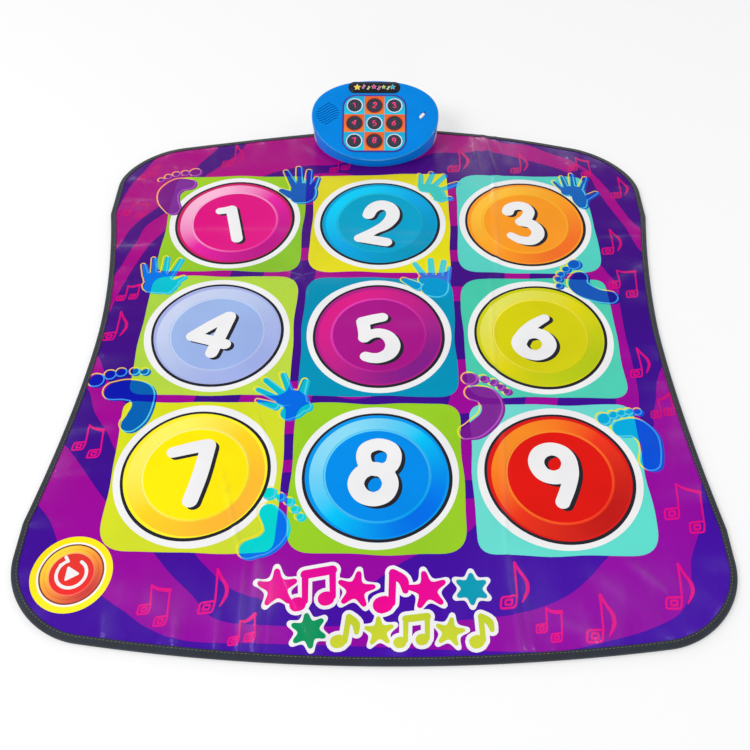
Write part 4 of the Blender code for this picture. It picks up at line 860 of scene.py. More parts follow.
# Each hand: its inks, then strokes of palm, fingers and thumb in the mat's millimetres
HANDS = (
    (print_inks((25, 35, 168), (20, 90, 180)), ((-126, 292, 14), (-112, 290, 14), (-112, 274, 14),
      (-124, 272, 14.5)), ((-148, 332, 4.6), (-134, 300, 7)), ((-128, 341, 5), (-125, 305, 6)),
     ((-111, 334, 5), (-112, 306, 6)), ((-98, 317, 4.4), (-103, 298, 6)), ((-154, 289, 5), (-136, 277, 9))),
    (print_inks((0, 105, 215), (64, 200, 190)), ((70, 296, 10), (84, 294, 11), (92, 280, 11), (95, 272, 9)),
     ((65, 327, 3.8), (64, 300, 5)), ((84, 331, 4), (74, 302, 5)), ((103, 325, 4.2), (84, 300, 5)),
     ((124, 306, 4.2), (92, 291, 5)), ((111, 272, 4.5), (88, 271, 5))),
    (print_inks((15, 70, 185), (20, 100, 185)), ((294, 289, 11), (308, 290, 12), (312, 270, 13),
      (314, 258, 9)), ((277, 311, 3.8), (288, 292, 5)), ((290, 322, 3.8), (294, 298, 5)), ((306, 328, 3.8),
      (305, 300, 5)), ((327, 320, 4), (317, 296, 5)), ((340, 286, 4), (322, 273, 6))),
    (print_inks((0, 115, 225), (0, 190, 205)), ((-324, 98, 13), (-310, 98, 12), (-306, 84, 14),
      (-322, 84, 14)), ((-300, 80, 12), (-290, 88, 7)), ((-341, 124, 3.8), (-334, 102, 5)), ((-328, 137, 3.8),
      (-323, 104, 5)), ((-310, 139, 4.2), (-309, 104, 5)), ((-289, 135, 4.4), (-299, 104, 5)),
     ((-279, 100, 4), (-293, 90, 6))),
    (print_inks((60, 110, 210), Ink((0, 150, 205), (70, 205, 200), "up", (0, 107), 1.5)), ((68, 98, 10),
      (90, 98, 10), (88, 78, 13), (76, 80, 14)), ((38, 98, 5), (56, 86, 8)), ((52, 131, 4), (66, 106, 5)),
     ((75, 139, 4.6), (76, 106, 5)), ((94, 136, 4.4), (89, 106, 5)), ((102, 124, 3.4), (98, 100, 4.5))),
    (print_inks((0, 105, 225), (0, 185, 205)), ((-118, -112, 13), (-102, -112, 13), (-100, -128, 10),
      (-112, -134, 12)), ((-100, -125, 10), (-90, -124, 8)), ((-155, -97, 4), (-128, -112, 5)),
     ((-146, -82, 4.6), (-122, -104, 5.5)), ((-124, -73, 4.4), (-112, -104, 5.5)), ((-93, -84, 4.6),
      (-98, -108, 6)), ((-152, -116, 3.6), (-130, -124, 6))),
)
# Each foot: its inks, the stroke of its sole, then toes as x, y and radius
FEET = (
    (print_inks((118, 14, 130), (124, 40, 148)), ((-301, 301, 13), (-316, 299, 16), (-328, 282, 17),
      (-326, 262, 16), (-316, 243, 12.5)), (-293, 330, 9.5), (-309, 328, 6.6), (-323, 325, 6.2),
     (-335, 319, 5.8), (-345, 311, 5.2)),
    (print_inks((20, 20, 140), (20, 85, 180), (0, 90, 190)), ((290, 104, 13), (286, 92, 15.5), (294, 80, 15),
      (312, 70, 13), (328, 67, 12.5)), (285, 131, 10.2), (272, 121, 6.6), (264, 111, 6.2), (259, 101, 6),
     (258, 88, 6)),
    (print_inks((5, 20, 170), (0, 95, 175)), ((-340, -102, 15), (-322, -100, 17), (-304, -106, 17),
      (-300, -124, 15), (-304, -142, 15.5), (-310, -152, 14)), (-367, -85, 11), (-350, -76, 8),
     (-336, -72, 7.4), (-319, -70, 6.6), (-306, -70, 6.2)),
    (print_inks((116, 18, 140), (126, 40, 148)), ((126, -101, 12), (142, -106, 14.5), (148, -122, 15),
      (142, -140, 14), (126, -156, 14), (114, -162, 11)), (122, -78, 10.4), (140, -78, 6.2), (152, -84, 5.8),
     (161, -91, 5.6), (169, -98, 5.6)),
    (print_inks((0, 80, 215), (0, 170, 220)), ((308, -154, 13), (326, -153, 14.5), (338, -166, 14.5),
      (340, -184, 13.5), (336, -202, 14)), (288, -140, 9.4), (301, -134, 6.5), (312, -131, 6),
     (322, -129, 5.6), (333, -129, 5.6)),
    (print_inks((0, 110, 230), (0, 210, 205)), ((-126, -275, 12), (-117, -288, 15), (-115, -302, 15),
      (-126, -316, 14), (-144, -323, 13)), (-127, -250, 8.8), (-113, -255, 6), (-102, -261, 5.8),
     (-95, -271, 5.5), (-88, -281, 5.5)),
)
# The fine line's inks: beside a print over the ground, a white ring or a square, and across the print
SAND, FLAME = Ink((232, 190, 100)), Ink((250, 178, 100))
IVORY, LEMON = Ink((238, 232, 150)), Ink((232, 226, 50))
LINE_BLUE, LINE_SKY, LINE_PLUM = Ink((60, 150, 235)), Ink((84, 204, 226)), Ink((176, 84, 190))


def less(whole, part):
    """What is left of one shape outside another."""
    return Shape(whole.loops + part.loops, lambda points: whole.covers(points) & ~part.covers(points))


PLUM_FEET = (0, 3)
prints = []
for number, ((over_ground, over_square, toe_ink), body, *tips) in enumerate(HANDS + FEET):
    foot, plum = number >= len(HANDS), number - len(HANDS) in PLUM_FEET
    strokes = [body] + ([((x - 0.4, y, r), (x + 0.4, y, r)) for x, y, r in tips] if foot else tips)
    fill_inks = ((GROUND_INKS, over_ground), over_square)
    if toe_ink:
        prints += [(placed(strokes[:1], (0, 0)), fill_inks), (placed(strokes[1:], (0, 0)), toe_ink)]
    else:
        prints.append((placed(strokes, (0, 0)), fill_inks))
    line = less(*[placed(strokes, (0, 0), grow=grow, shift=LINE_SHIFT) for grow in (LINE_OUT, LINE_IN)])
    deep = [ink.number for ink in (over_ground, toe_ink) if ink]
    across_deep, across_pale = (LINE_PLUM, LINE_PLUM) if plum else (LINE_BLUE, LINE_SKY)
    prints.append((line, ((deep, across_deep), ([over_square.number], across_pale),
                          (GROUND_INKS, FLAME if plum else SAND), ([WHITE.number], IVORY), LEMON)))
print(len(HANDS), "hands and", len(FEET), "feet")

# %% [markdown]
# ## Numbers
# The nine plain numbers are fat round strokes, each with a dark copy behind it that is moved to the lower
# right. A stroke's points are x, y and half width, from the middle of its pad.

# %% Numbers
NUMBERS = (
    ((((-25, 22.5, 7), (-16, 24.5, 7.4), (-8, 27, 8)), ((-8, 26.5, 8.6), (0, -6, 8.6), (7.3, -37, 8.6))), ()),
    ((((-17, 16.5, 9.5), (-13, 27.5, 10), (-4.5, 36, 10.4), (5, 38, 10.6), (15, 33, 10.4), (20, 22, 10.3),
       (18, 8, 10.3), (8, -7, 9.2), (-8, -19, 7.6), (-29, -34.5, 8)), ((-30, -35, 8.4), (-10, -38.5, 9),
       (10, -42.8, 8.8))), ()),
    ((((-24, 25, 9.2), (-20, 34, 9.2), (-8, 38.5, 9.2), (3, 35, 9), (8, 24, 8.8), (2, 10, 9), (-6, 2.5, 9)),
      ((-5, 2, 9), (8, -1.5, 9.6), (16.5, -13, 9.8), (16, -27, 9.6), (6, -38, 9), (-7, -38, 8.4),
       (-17, -33, 7.4), (-23.5, -27.5, 6.6))), ()),
    ((((12, 30, 8.6), (-10, 14, 8.2), (-34, -6, 8)), ((-34, -6, 8), (-10, -12.5, 8.4), (12.5, -20, 8.6)),
      ((13, 29.5, 9.4), (5, -3, 9), (-3.5, -35, 8.6))), ()),
    ((((5, 30, 8), (-8, 26.5, 8.4), (-22, 21.5, 8.8)), ((-22, 21.5, 9), (-19.5, 6, 8.8), (-19, -7, 8.4)),
      ((-19.5, -7, 8.4), (-10, -0.5, 8), (2, 1.5, 8), (13.5, -5, 9.2), (19.5, -19, 10.2), (14.5, -33.5, 9.6),
       (2, -41, 8.6), (-9, -41.5, 8.2), (-17, -39, 7.8))), ()),
    ((((9, 30, 6.8), (-8, 18, 8.4), (-22, 2, 10), (-29.5, -12, 10)), ((-30.5, -15, 10.2), (-24, -2, 9.6),
       (-9, 3.5, 9), (5, -2, 9.6), (10.5, -15.5, 9.8), (4, -29, 9.2), (-9.5, -35, 8.8), (-24, -29, 9.6))),
     (1,)),
    ((((-31.5, 29, 7.8), (-10, 35.5, 8.6), (9.5, 40, 8.8)), ((11, 38.5, 9.6), (6, -2, 9.6), (-1, -38, 9.4))),
     ()),
    ((((2, 43, 8.6), (-13, 37, 9), (-17, 25, 9), (-12, 11, 9.2), (2, 6, 9), (16, 11, 9.2), (21, 25, 9),
       (17, 37, 9)), ((-4.5, 8, 9.4), (-19, 2, 10), (-25.5, -13, 10), (-19, -28, 10), (-4.5, -34, 9.4),
       (10, -28, 10), (16, -13, 10), (10, 2, 10))), (0, 1)),
    ((((-6, 38, 9.4), (-20.5, 32, 9.8), (-26.5, 18, 9.8), (-20.5, 3, 9.8), (-6, -2.5, 9.4), (8, 3.5, 9.6),
       (14, 18, 10), (8.5, 32, 9.8)), ((14.5, 20, 9.6), (14.5, 4, 9.4), (8.5, -16, 9), (-0.5, -36, 8.6))),
     (0,)),
)


def number_on(index, centre, size=1.0, grow=0.0, shift=(0, 0), step=2.4):
    """One number as a shape."""
    strokes, closed = NUMBERS[index]
    return placed(strokes, centre, size=size, grow=grow, shift=shift, closed=closed, step=step)


# %% [markdown]
# ## Start pad and front band
# The small start pad carries a plain play sign inside a turning arrow. The band at the front edge carries
# chunky stars and notes with white borders, in pink, lime and teal.

# %% Start pad
SUN, CREAM = Ink((252, 228, 20), (255, 238, 40), "slope", START, 46), Ink((244, 242, 236))
SOOT = Ink((112, 60, 52), (140, 62, 52), "slope", START, 36)
GLINT = Ink((255, 190, 110), (236, 96, 84), "turn", START)
EMBER = Ink((255, 218, 60), (208, 66, 62), "turn", START, middle=(252, 150, 60))
RED = Ink((240, 44, 44), (222, 58, 50), "up", START, 25)
start_rings = [(round_area(START, radius, 72), ink) for radius, ink in (
    (46.0, SUN), (38.6, CREAM), (36.4, SOOT), (34.6, EMBER))]
# The play sign: three sides of a triangle, and two strokes that fill it
TOP, BOTTOM, TIP = (-4.6, 7.0, 1.5), (-4.6, -7.0, 1.5), (7.2, 0, 1.5)
PLAY_SIGN = ((TOP, BOTTOM), (TOP, TIP), (TIP, BOTTOM), ((-2.4, 3.6, 2.4), (-2.4, -3.6, 2.4)),
             ((-1.4, 0, 3.2), (2.6, 0, 2.4)))
# The turning arrow: a long arc, and two strokes for its head
ARROW_RADIUS, ARROW_HALF = 16.8, 1.9
ARROW_HEAD = (((-10.6, 20.4, 1.8), (-7.0, 14.9, 2.0)), ((-14.6, 10.2, 1.8), (-9.4, 14.0, 2.0)))
arc = [(ARROW_RADIUS * math.cos(a), ARROW_RADIUS * math.sin(a), ARROW_HALF)
       for a in np.radians(np.linspace(60, -235, 15))]
start_print = [(round_area(START, radius, 60), ink) for radius, ink in ((26.4, GLINT), (24.8, RED))]
start_print += [(placed(strokes, START), WHITE) for strokes in (PLAY_SIGN, (arc, *ARROW_HEAD))]
print("start pad of", len(start_rings), "rings and", len(start_print), "motifs")

# %% Front band
BAND_PINK = Ink((240, 4, 140), (222, 6, 150), "up", (0, -372), 30)
BAND_LIME = Ink((206, 212, 54), (190, 206, 46), "up", (0, -416), 24)
BAND_TEAL, BAND_GREEN, BORDER = Ink((0, 155, 180)), Ink((0, 145, 90)), 4.2
# Strokes of one chunky note, and of two under a beam
BEAT = [[(-9, -14, 8), (-6, -13, 8)], [(0.5, -12, 3.4), (1.5, 18, 3.6)],
        [(2, 17, 4.4), (11, 10, 5), (13, 0, 3)]]
BEATS = [[(-19, -15, 7), (-17, -14.5, 7)], [(8, -11, 7), (10, -10.5, 7)], [(-11, -12, 3), (-10.5, 15, 3.4)],
         [(15.5, -9, 3), (16, 18, 3.4)], [(-10.5, 14.5, 4.6), (16, 18, 4.6)]]


# A star's tips are rounded by points this many degrees to both sides, a little nearer its middle
TIP_SIDES = ((-8, 0.93), (0, 1.0), (8, 0.93))


def star(at, tip, notch=0.52, points=5, lean=0.0, border=0.0):
    """A plump star as one smooth outline: three points round each tip, and one in each notch."""
    made = []
    for i in range(points):
        turn = math.pi / 2 + 2 * math.pi * i / points + math.radians(lean)
        for side, size in TIP_SIDES:
            made.append((turn + math.radians(side), tip * size + 1.25 * border))
        made.append((turn + math.pi / points, tip * notch + border))
    return area(spline([(at[0] + r * math.cos(a), at[1] + r * math.sin(a)) for a, r in made], closed=True,
                       step=1.6))


# Each star: its place, the radius of its tips, how deep its notches are, its points, lean and ink
STARS = (
    ((-109, -368), 23, 0.52, 5, 6, BAND_PINK), ((-22, -369), 22, 0.5, 5, -8, BAND_PINK),
    ((57, -369), 23, 0.5, 5, 10, BAND_PINK), ((106, -367), 19, 0.64, 6, 0, BAND_TEAL),
    ((-72, -416), 20, 0.6, 6, 10, BAND_GREEN), ((4, -416), 16.5, 0.52, 5, 4, BAND_LIME),
    ((80, -416), 16.5, 0.52, 5, -10, BAND_LIME),
)
# Each note: its strokes, place, turn, size and ink
NOTES = (
    (BEATS, (-66, -368), 4, 1.16, BAND_PINK), (BEAT, (17, -370), 0, 1.2, BAND_PINK),
    (BEAT, (-32, -416), -6, 0.9, BAND_LIME), (BEATS, (42, -415), 0, 0.88, BAND_LIME),
    (BEAT, (114, -414), 4, 0.88, BAND_LIME),
)
band = [(star(*spot, border=BORDER), WHITE) for *spot, ink in STARS]
band += [(placed(*note, grow=BORDER), WHITE) for *note, ink in NOTES]
band += [(star(*spot), ink) for *spot, ink in STARS] + [(placed(*note), ink) for *note, ink in NOTES]
print("front band of", len(STARS), "stars and", len(NOTES), "notes")

# %% [markdown]
# ## The printed cover
# All outlines are cut into one flat triangulation together with a grid of spots that lets the sheet swell. It
# becomes two pieces that meet between the squares: the left wing's, and the middle's with the right wing's.

# %% Where the sheets get their points
# SEAM is the x at which the left and the right piece meet. COVER_INSET is how far the cover stays from the
# rim, and RIM_CLEAR how far the inner points do
SEAM, COVER_INSET, RIM_CLEAR = -111.0, 6.6, 10
DISC_GAP, DISC_THICKNESS = 0.25, 1.4


def grid_spots(columns, rows):
    """All the points of a grid."""
    return np.stack(np.meshgrid(columns, rows), -1).reshape(-1, 2)


def lay_spots(inside, spacing=7.0):
    """Grid points over the sheet, closer together where it folds."""
    across = np.arange(-420, 421, spacing)
    away = np.abs(across)
    across = across[(away < FOLD_FLAT - FOLD_MARGIN) | (away > FOLD_END + FOLD_MARGIN)]
    folds = np.arange(FOLD_FLAT - 3, FOLD_END + 4, 2.4)
    grids = ((across, spacing), (np.concatenate([folds, -folds]), spacing / 2))
    spots = np.concatenate([grid_spots(columns, np.arange(-455, 450, step)) for columns, step in grids])
    return spots[area(inside).covers(spots)]


def crease_spots():
    """Points along every crease, close enough to carry its profile."""
    made = []
    for a, b, half, height in CREASES:
        a, b = np.array(a, float), np.array(b, float)
        run = math.hypot(*(b - a))
        way = (b - a) / run
        for share in np.linspace(0, 1, max(3, int(run / 5) + 1)):
            for off in (-1.7, -0.8, 0.0, 0.8, 1.7):
                made.append(a + (b - a) * share + np.array((-way[1], way[0])) * off * half)
    return np.array(made)


def rim_inset(distance):
    """The rim moved inwards."""
    return RIM - outward(RIM) * distance


def halves_of(flat, faces):
    """Which triangles make the left piece of a sheet, and which the right."""
    on_right = flat[faces].mean(1)[:, 0] > SEAM
    return (("left", ~on_right), ("right", on_right))


print("the sheets' pieces meet at", SEAM, "mm")

# %% Cover
disc_holes = [round_area(centre, PAD_RADIUS + DISC_GAP, 96) for centre in PADS]
disc_holes.append(round_area(START, START_RADIUS + DISC_GAP, 64))
# This outline is cut into the sheets where their pieces meet. In the cover it only parts the triangles
seam_line = area([(SEAM, -470), (SEAM + 900, -470), (SEAM + 900, 470), (SEAM, 470)])
layers = [(area(rim_inset(-5)), MAGENTA)] + ground + squares + prints + rings + start_rings + band
layers.append((Shape(seam_line.loops, lambda points: np.zeros(len(points), bool)), MAGENTA))
creased = crease_spots()
creased = creased[area(rim_inset(RIM_CLEAR)).covers(creased)]
spots = np.concatenate([lay_spots(rim_inset(RIM_CLEAR)), creased])
flat, faces, inks = cut_print(rim_inset(COVER_INSET), layers, spots, disc_holes)
covers = {}
for side, chosen in halves_of(flat, faces):
    name = f"cover_{side}"
    covers[name] = printed_sheet(name, flat, faces[chosen], inks[chosen], COVER_TOP, COVER_THICKNESS, swell)

# %% Touch discs
NUMBER_SHADOW = (4.6, -3.2)
discs = []
for i, centre in enumerate(PADS + [START]):
    radius = PAD_RADIUS if i < 9 else START_RADIUS
    edge = ring_points(centre, radius, 96)
    if i < 9:
        inner, line = disc_prints[i]
        art = [(round_area(centre, radius + 1, 96), line), inner]
        art += [(number_on(i, centre, shift=NUMBER_SHADOW), OUTLINE), (number_on(i, centre), WHITE)]
    else:
        art = [(round_area(centre, radius + 1, 64), EMBER)] + start_print
    spots = grid_spots(np.arange(-66, 67, 6.0), np.arange(-66, 67, 6.0)) + centre
    spots = spots[round_area(centre, radius - 2).covers(spots)]
    name = f"touch_disc_{i + 1}" if i < 9 else "start_disc"
    discs.append(printed_sheet(name, *cut_print(edge, art, spots), COVER_TOP, DISC_THICKNESS, swell))

# %% [markdown]
# ## Printed vinyl
# The cover is glossy printed vinyl. Its colour is the ink under each point, a little uneven, as screen print
# is. Fine pores and soft ripples as wide as a finger come from bump nodes, on top of the modelled creases.

# %% Vinyl
INK_SHADOW = (0.86, 0.84, 0.88, 1)


def vinyl(name, gloss, ripple):
    """Glossy print that shines most where the sheet's own gleam attribute says so."""
    made = Finish(name, Specular_IOR_Level=0.045, Coat_Roughness=0.14)
    cloudy = made.ramp(made.noise(14, 3), 0.3, 0.75)
    specks = made.ramp(made.noise(900, 2), 0.35, 0.7)
    shaded = made.node("ShaderNodeMix", {"data_type": "RGBA", "blend_type": "MULTIPLY"},
                       {0: 0.5 * cloudy + 0.2 * specks, 6: made.attribute("print"), 7: INK_SHADOW}, out=2)
    made.feed("Base Color", shaded)
    broken = made.ramp(made.noise(34, 3, (1, 0.5, 1)), 0.35, 0.65)
    made.feed("Coat Weight", made.attribute("gleam", "Fac") * (0.35 + 0.65 * broken))
    smear = made.ramp(made.noise(9, 4, (1, 2.2, 1)), 0.35, 0.7)
    made.feed("Roughness", gloss + 0.10 * smear + 0.05 * specks)
    pores = made.bump(made.noise(1400, 2), 0.00003, 0.5)
    small = made.bump(made.noise(70, 3, (1, 1.4, 1)), 0.0006, ripple, pores)
    made.feed("Normal", made.bump(made.noise(16, 2, (1, 1.3, 1)), 0.002, ripple, small))
    return made


printed_vinyl = vinyl("printed_vinyl", 0.22, 0.35)
pad_vinyl = vinyl("pad_vinyl", 0.2, 0.22)
for finish, pieces in ((printed_vinyl, covers.values()), (pad_vinyl, discs)):
    for piece in pieces:
        piece.data.materials.append(finish.material)
print(len(covers), "covers and", len(discs), "touch discs finished")

# %% [markdown]
# ## Cloth, film and foam under the print
# Under the cover lie two clear contact films with dark foam between them, and a woven backing. Each is cut to
# the same outline, in a left and a right piece, with spots close together along the folds.

# %% Cloth and plain stuffs
def woven(name, thread, gap, pitch=0.0011):
    """Cloth of crossed threads, from waves along x and y."""
    made = Finish(name, Roughness=0.85, Specular_IOR_Level=0.25, Sheen_Weight=0.25)
    wave = {"Vector": made.object, "Scale": 0.314 / pitch, "Distortion": 0.6, "Detail": 1.0}
    waves = [made.node("ShaderNodeTexWave", {"bands_direction": way}, wave, "Fac") for way in "XY"]
    weave = waves[0] * waves[1]
    fluff = made.ramp(made.noise(60, 4), 0.3, 0.7)
    made.feed("Base Color", made.blend(0.7 * weave + 0.3 * fluff, gap, thread))
    made.feed("Normal", made.bump(weave + 0.3 * made.noise(700, 3), 0.0003, 0.8))
    return made


def clouded(name, dark, light, scale, grain, **constants):
    """A plain stuff with a grain: foam, film, paper or rubber."""
    made = Finish(name, **constants)
    spread = made.ramp(made.noise(scale, 4), 0.3, 0.7)
    made.feed("Base Color", made.blend(spread, dark, light))
    made.feed("Roughness", constants.get("Roughness", 0.5) + 0.12 * (spread - 0.5))
    made.feed("Normal", made.bump(made.noise(grain, 3), 0.00012, 0.6))
    return made


# %% Inner sheets
INNER_INSET, BACKING_INSET = 1.1, 8.9
backing_cloth = woven("backing_cloth", paint(70, 72, 80), paint(38, 40, 46))
spacer_foam = clouded("spacer_foam", paint(34, 35, 40), paint(64, 66, 72), 500, 1600, Roughness=0.9,
                      Specular_IOR_Level=0.2)
contact_film = clouded("contact_film", paint(200, 206, 210), paint(222, 228, 232), 12, 300, Roughness=0.25)
inner_sheets = []
inner_edge = rim_inset(INNER_INSET)
foam_holes = [round_area(centre, PAD_RADIUS + 1, 64) for centre in PADS]
foam_holes.append(round_area(START, START_RADIUS + 1, 48))
# The columns of points: close together at the folds, and wide apart elsewhere
strips = np.concatenate([np.arange(FOLD_FLAT - 3, FOLD_END + 4, 3.0), [SEAM, -420, 420]])
strips = np.concatenate([strips, -strips, np.arange(-100, 101, 40.0)])
# Each sheet: its height, thickness, outline, holes and finish
for kind, low, thick, edge, holes, finish in (
    ("backing_sheet", 0.0, 0.8, rim_inset(BACKING_INSET), (), backing_cloth),
    ("lower_film", 1.1, 0.3, inner_edge, (), contact_film),
    ("spacer_foam", 1.7, 2.0, inner_edge, foam_holes, spacer_foam),
    ("upper_film", 4.0, 0.3, inner_edge, disc_holes, contact_film)):
    spots = grid_spots(strips, np.arange(-450, 451, 30))
    spots = spots[area(edge * 0.995).covers(spots)]
    flat, faces, inks = cut_print(edge, [(seam_line, MAGENTA)], spots, holes)
    for side, chosen in halves_of(flat, faces):
        sheet = printed_sheet(f"{kind}_{side}", flat, faces[chosen], inks[chosen], low + thick, thick)
        sheet.data.materials.append(finish.material)
        inner_sheets.append(sheet)

# %% [markdown]
# ## Edge tape
# A woven tape is folded over the edge and sewn through. Its cross-section is a soft U that is carried round
# the rim in two halves, rising with the cover's ripples. Each half ends behind the console and at the front.

# %% Sweeping a section
def sweep(name, sections, along):
    """Extrudes one closed outline from section to section and closes both ends."""
    mesh = bmesh.new()
    row = [mesh.verts.new(p) for p in sections[0]]
    for a, b in zip(row, row[1:] + row[:1]):
        mesh.edges.new((a, b))
    mesh.faces.new(row)
    edges, places = list(mesh.edges), {v: (0, j) for j, v in enumerate(row)}
    for i, section in enumerate(sections[1:], 1):
        grown = bmesh.ops.extrude_edge_only(mesh, edges=edges)["geom"]
        fresh = {g for g in grown if isinstance(g, bmesh.types.BMVert)}
        for vert in fresh:
            old = next(e.other_vert(vert) for e in vert.link_edges if e.other_vert(vert) not in fresh)
            places[vert] = (i, places[old][1])
            vert.co = section[places[vert][1]]
        near = {edge for vert in fresh for edge in vert.link_edges}
        edges = [edge for edge in near if edge.verts[0] in fresh and edge.verts[1] in fresh]
    mesh.faces.new(sorted(fresh, key=lambda v: places[v][1]))
    bmesh.ops.recalc_face_normals(mesh, faces=mesh.faces)
    count, layer = len(row), mesh.loops.layers.uv.new("cloth")
    outline = list(sections[0]) + [sections[0][0]]
    girth = np.cumsum([0] + [math.dist(a, b) for a, b in zip(outline, outline[1:])])
    for face in mesh.faces:
        spots = [places[loop.vert] for loop in face.loops]
        wraps = any(j == 0 for _, j in spots) and any(j == count - 1 for _, j in spots)
        for loop, (i, j) in zip(face.loops, spots):
            loop[layer].uv = (along[i], girth[count if wraps and j == 0 else j])
    return finished(name, mesh)


def finished(name, mesh, smooth=40):
    """Turns a bmesh into an object that is smooth except at sharp edges."""
    made = linked(bpy.data.objects.new(name, bpy.data.meshes.new(name)))
    mesh.to_mesh(made.data)
    mesh.free()
    made.data.polygons.foreach_set("use_smooth", [True] * len(made.data.polygons))
    made.data.set_sharp_from_angle(angle=math.radians(smooth))
    print(name, len(made.data.polygons), "faces")
    return made


# %% Tape
# The tape's section: how far inside the rim, how high, and whether it follows the cover's rise
TAPE_LINE = (
    (8.6, 6.2, 1), (7.2, 6.4, 1), (4.8, 6.35, 1), (2.4, 6.1, 1), (0.9, 5.4, 0.6), (0.1, 4.2, 0.3),
    (-0.1, 2.8, 0), (0.1, 1.4, 0), (0.8, 0.4, 0), (2.2, 0.0, 0), (5.0, -0.05, 0), (8.6, 0.1, 0),
    (8.6, 0.85, 0), (2.6, 0.85, 0), (1.0, 1.6, 0), (0.85, 2.8, 0), (1.0, 4.2, 0.3), (2.0, 5.3, 0.9),
    (6.0, 5.5, 1), (8.6, 5.47, 1),
)
rim_ways = outward(RIM)


def nearest(loop, spot):
    """Where in a loop of points a spot is."""
    return int(np.argmin(np.hypot(*(loop - spot).T)))


# The rim from the middle of the rear round by the left, in two halves that meet at the middle of the front
turned_rim = np.roll(np.arange(len(RIM)), -nearest(RIM, (-4, REAR)))
front_spot = nearest(RIM[turned_rim], (0, -FRONT))
halves = {"left": turned_rim[:front_spot + 1], "right": np.append(turned_rim[front_spot:], turned_rim[0])}


def lengths(line):
    """How far along a line each of its points lies."""
    return np.cumsum([0] + list(np.hypot(*np.diff(line, axis=0).T)))


def tape_sections(picks):
    """The tape's outline at each rim point, and the distance along the rim."""
    columns = []
    for inside, height, share in TAPE_LINE:
        spots = RIM[picks] - rim_ways[picks] * inside
        lift = swell(RIM[picks] - rim_ways[picks] * max(inside, 6)) * share
        pucker = 0.12 * np.sin(np.arange(len(picks)) * 1.9) * (share > 0.9)
        columns.append(np.column_stack([spots, height + lift + pucker]) * MM)
    return np.stack(columns, 1).tolist(), lengths(RIM[picks]) * MM


grosgrain = Finish("grosgrain_tape", Roughness=0.7, Specular_IOR_Level=0.3, Sheen_Weight=0.2)
cloth_place = grosgrain.node("ShaderNodeUVMap", {"uv_map": "cloth"})
ribs, rows = [
    grosgrain.node("ShaderNodeTexWave", {"bands_direction": way},
                   {"Vector": cloth_place, "Scale": scale, "Distortion": 0.4}, "Fac")
    for way, scale in (("X", 260.0), ("Y", 420.0))]
wear = grosgrain.ramp(grosgrain.noise(35, 4), 0.35, 0.7)
grosgrain.feed("Base Color", grosgrain.blend(0.55 * ribs * rows + 0.35 * wear, paint(10, 16, 26),
                                             paint(34, 46, 60)))
grosgrain.feed("Normal", grosgrain.bump(ribs * 0.7 + rows * 0.3, 0.00025, 0.7))
tapes = {}
for side, picks in halves.items():
    tapes[side] = sweep(f"edge_tape_{side}", *tape_sections(picks))
    tapes[side].data.materials.append(grosgrain.material)

# %% [markdown]
# ## Stitches
# A lockstitch in pale thread runs round the tape, on top and below. Each stitch is a short bead of thread
# whose ends dip into the tape, so that from afar the row reads as fine dots.

# %% Stitches
# How far inside the rim the seam runs, one stitch's pitch, length, breadth and thickness, its slant, and the
# heights of the two rows
SEAM_INSET, STITCH_PITCH, STITCH_LENGTH, STITCH_BREADTH, STITCH_THICK = 6.7, 4.4, 2.9, 0.5, 0.45
STITCH_SLANT, UPPER_ROW, LOWER_ROW = 0.12, 6.42, -0.04
bead_mesh = bmesh.new()
bmesh.ops.create_uvsphere(bead_mesh, u_segments=6, v_segments=4, radius=0.5 * MM)
bmesh.ops.rotate(bead_mesh, verts=bead_mesh.verts, cent=(0, 0, 0),
                 matrix=Matrix.Rotation(math.pi / 2, 3, "X"))
bead = bpy.data.meshes.new("bead")
bead_mesh.to_mesh(bead)
bead_mesh.free()


def stitch_row(name, picks):
    """Copies of the bead along the tape, above and below."""
    mesh = bmesh.new()
    line = RIM[picks] - rim_ways[picks] * SEAM_INSET
    run = lengths(line)
    spots = np.arange(STITCH_PITCH / 2, run[-1], STITCH_PITCH)
    x, y, way_x, way_y = [np.interp(spots, run, column) for column in (*line.T, *rim_ways[picks].T)]
    middles = np.stack([x, y], 1)
    size = Matrix.Diagonal((STITCH_BREADTH, STITCH_LENGTH, STITCH_THICK, 1))
    for (x, y), way, high in zip(middles, np.arctan2(way_y, way_x), UPPER_ROW + swell(middles)):
        turned = Matrix.Rotation(way + STITCH_SLANT, 4, "Z") @ size
        for level in (high, LOWER_ROW):
            spot = Matrix.Translation((x * MM, y * MM, level * MM)) @ turned
            bead.transform(spot)
            mesh.from_mesh(bead)
            bead.transform(spot.inverted())
    return finished(name, mesh, 80)


thread = clouded("pale_thread", paint(96, 98, 80), paint(142, 140, 112), 900, 3000, Roughness=0.6,
                 Sheen_Weight=0.2)
seams = {side: stitch_row(f"stitches_{side}", picks) for side, picks in halves.items()}
for seam in seams.values():
    seam.data.materials.append(thread.material)

# %% [markdown]
# ## The console's shell
# The console is an egg-shaped housing that leans back by 22 degrees. It is modelled flat in its own frame,
# with u to the right, v up the face and n out of it, and then turned into place as a finished mesh.

# %% Console frame
FACE_CENTRE, FACE_TILT = Vector((-0.009, 0.40773, 0.0511)), math.radians(22)
FACE = Matrix.Translation(FACE_CENTRE) @ Matrix.Rotation(FACE_TILT, 4, "X") @ Matrix.Scale(MM, 4)
# The height at which the shell meets the mat, the depth of its short skirt, the v in front of which the skirt
# deepens, and how steeply it does
FLOOR_LINE, SKIRT, SKIRT_TURN, SKIRT_SLOPE = 5.7, -7, -12, 4.4
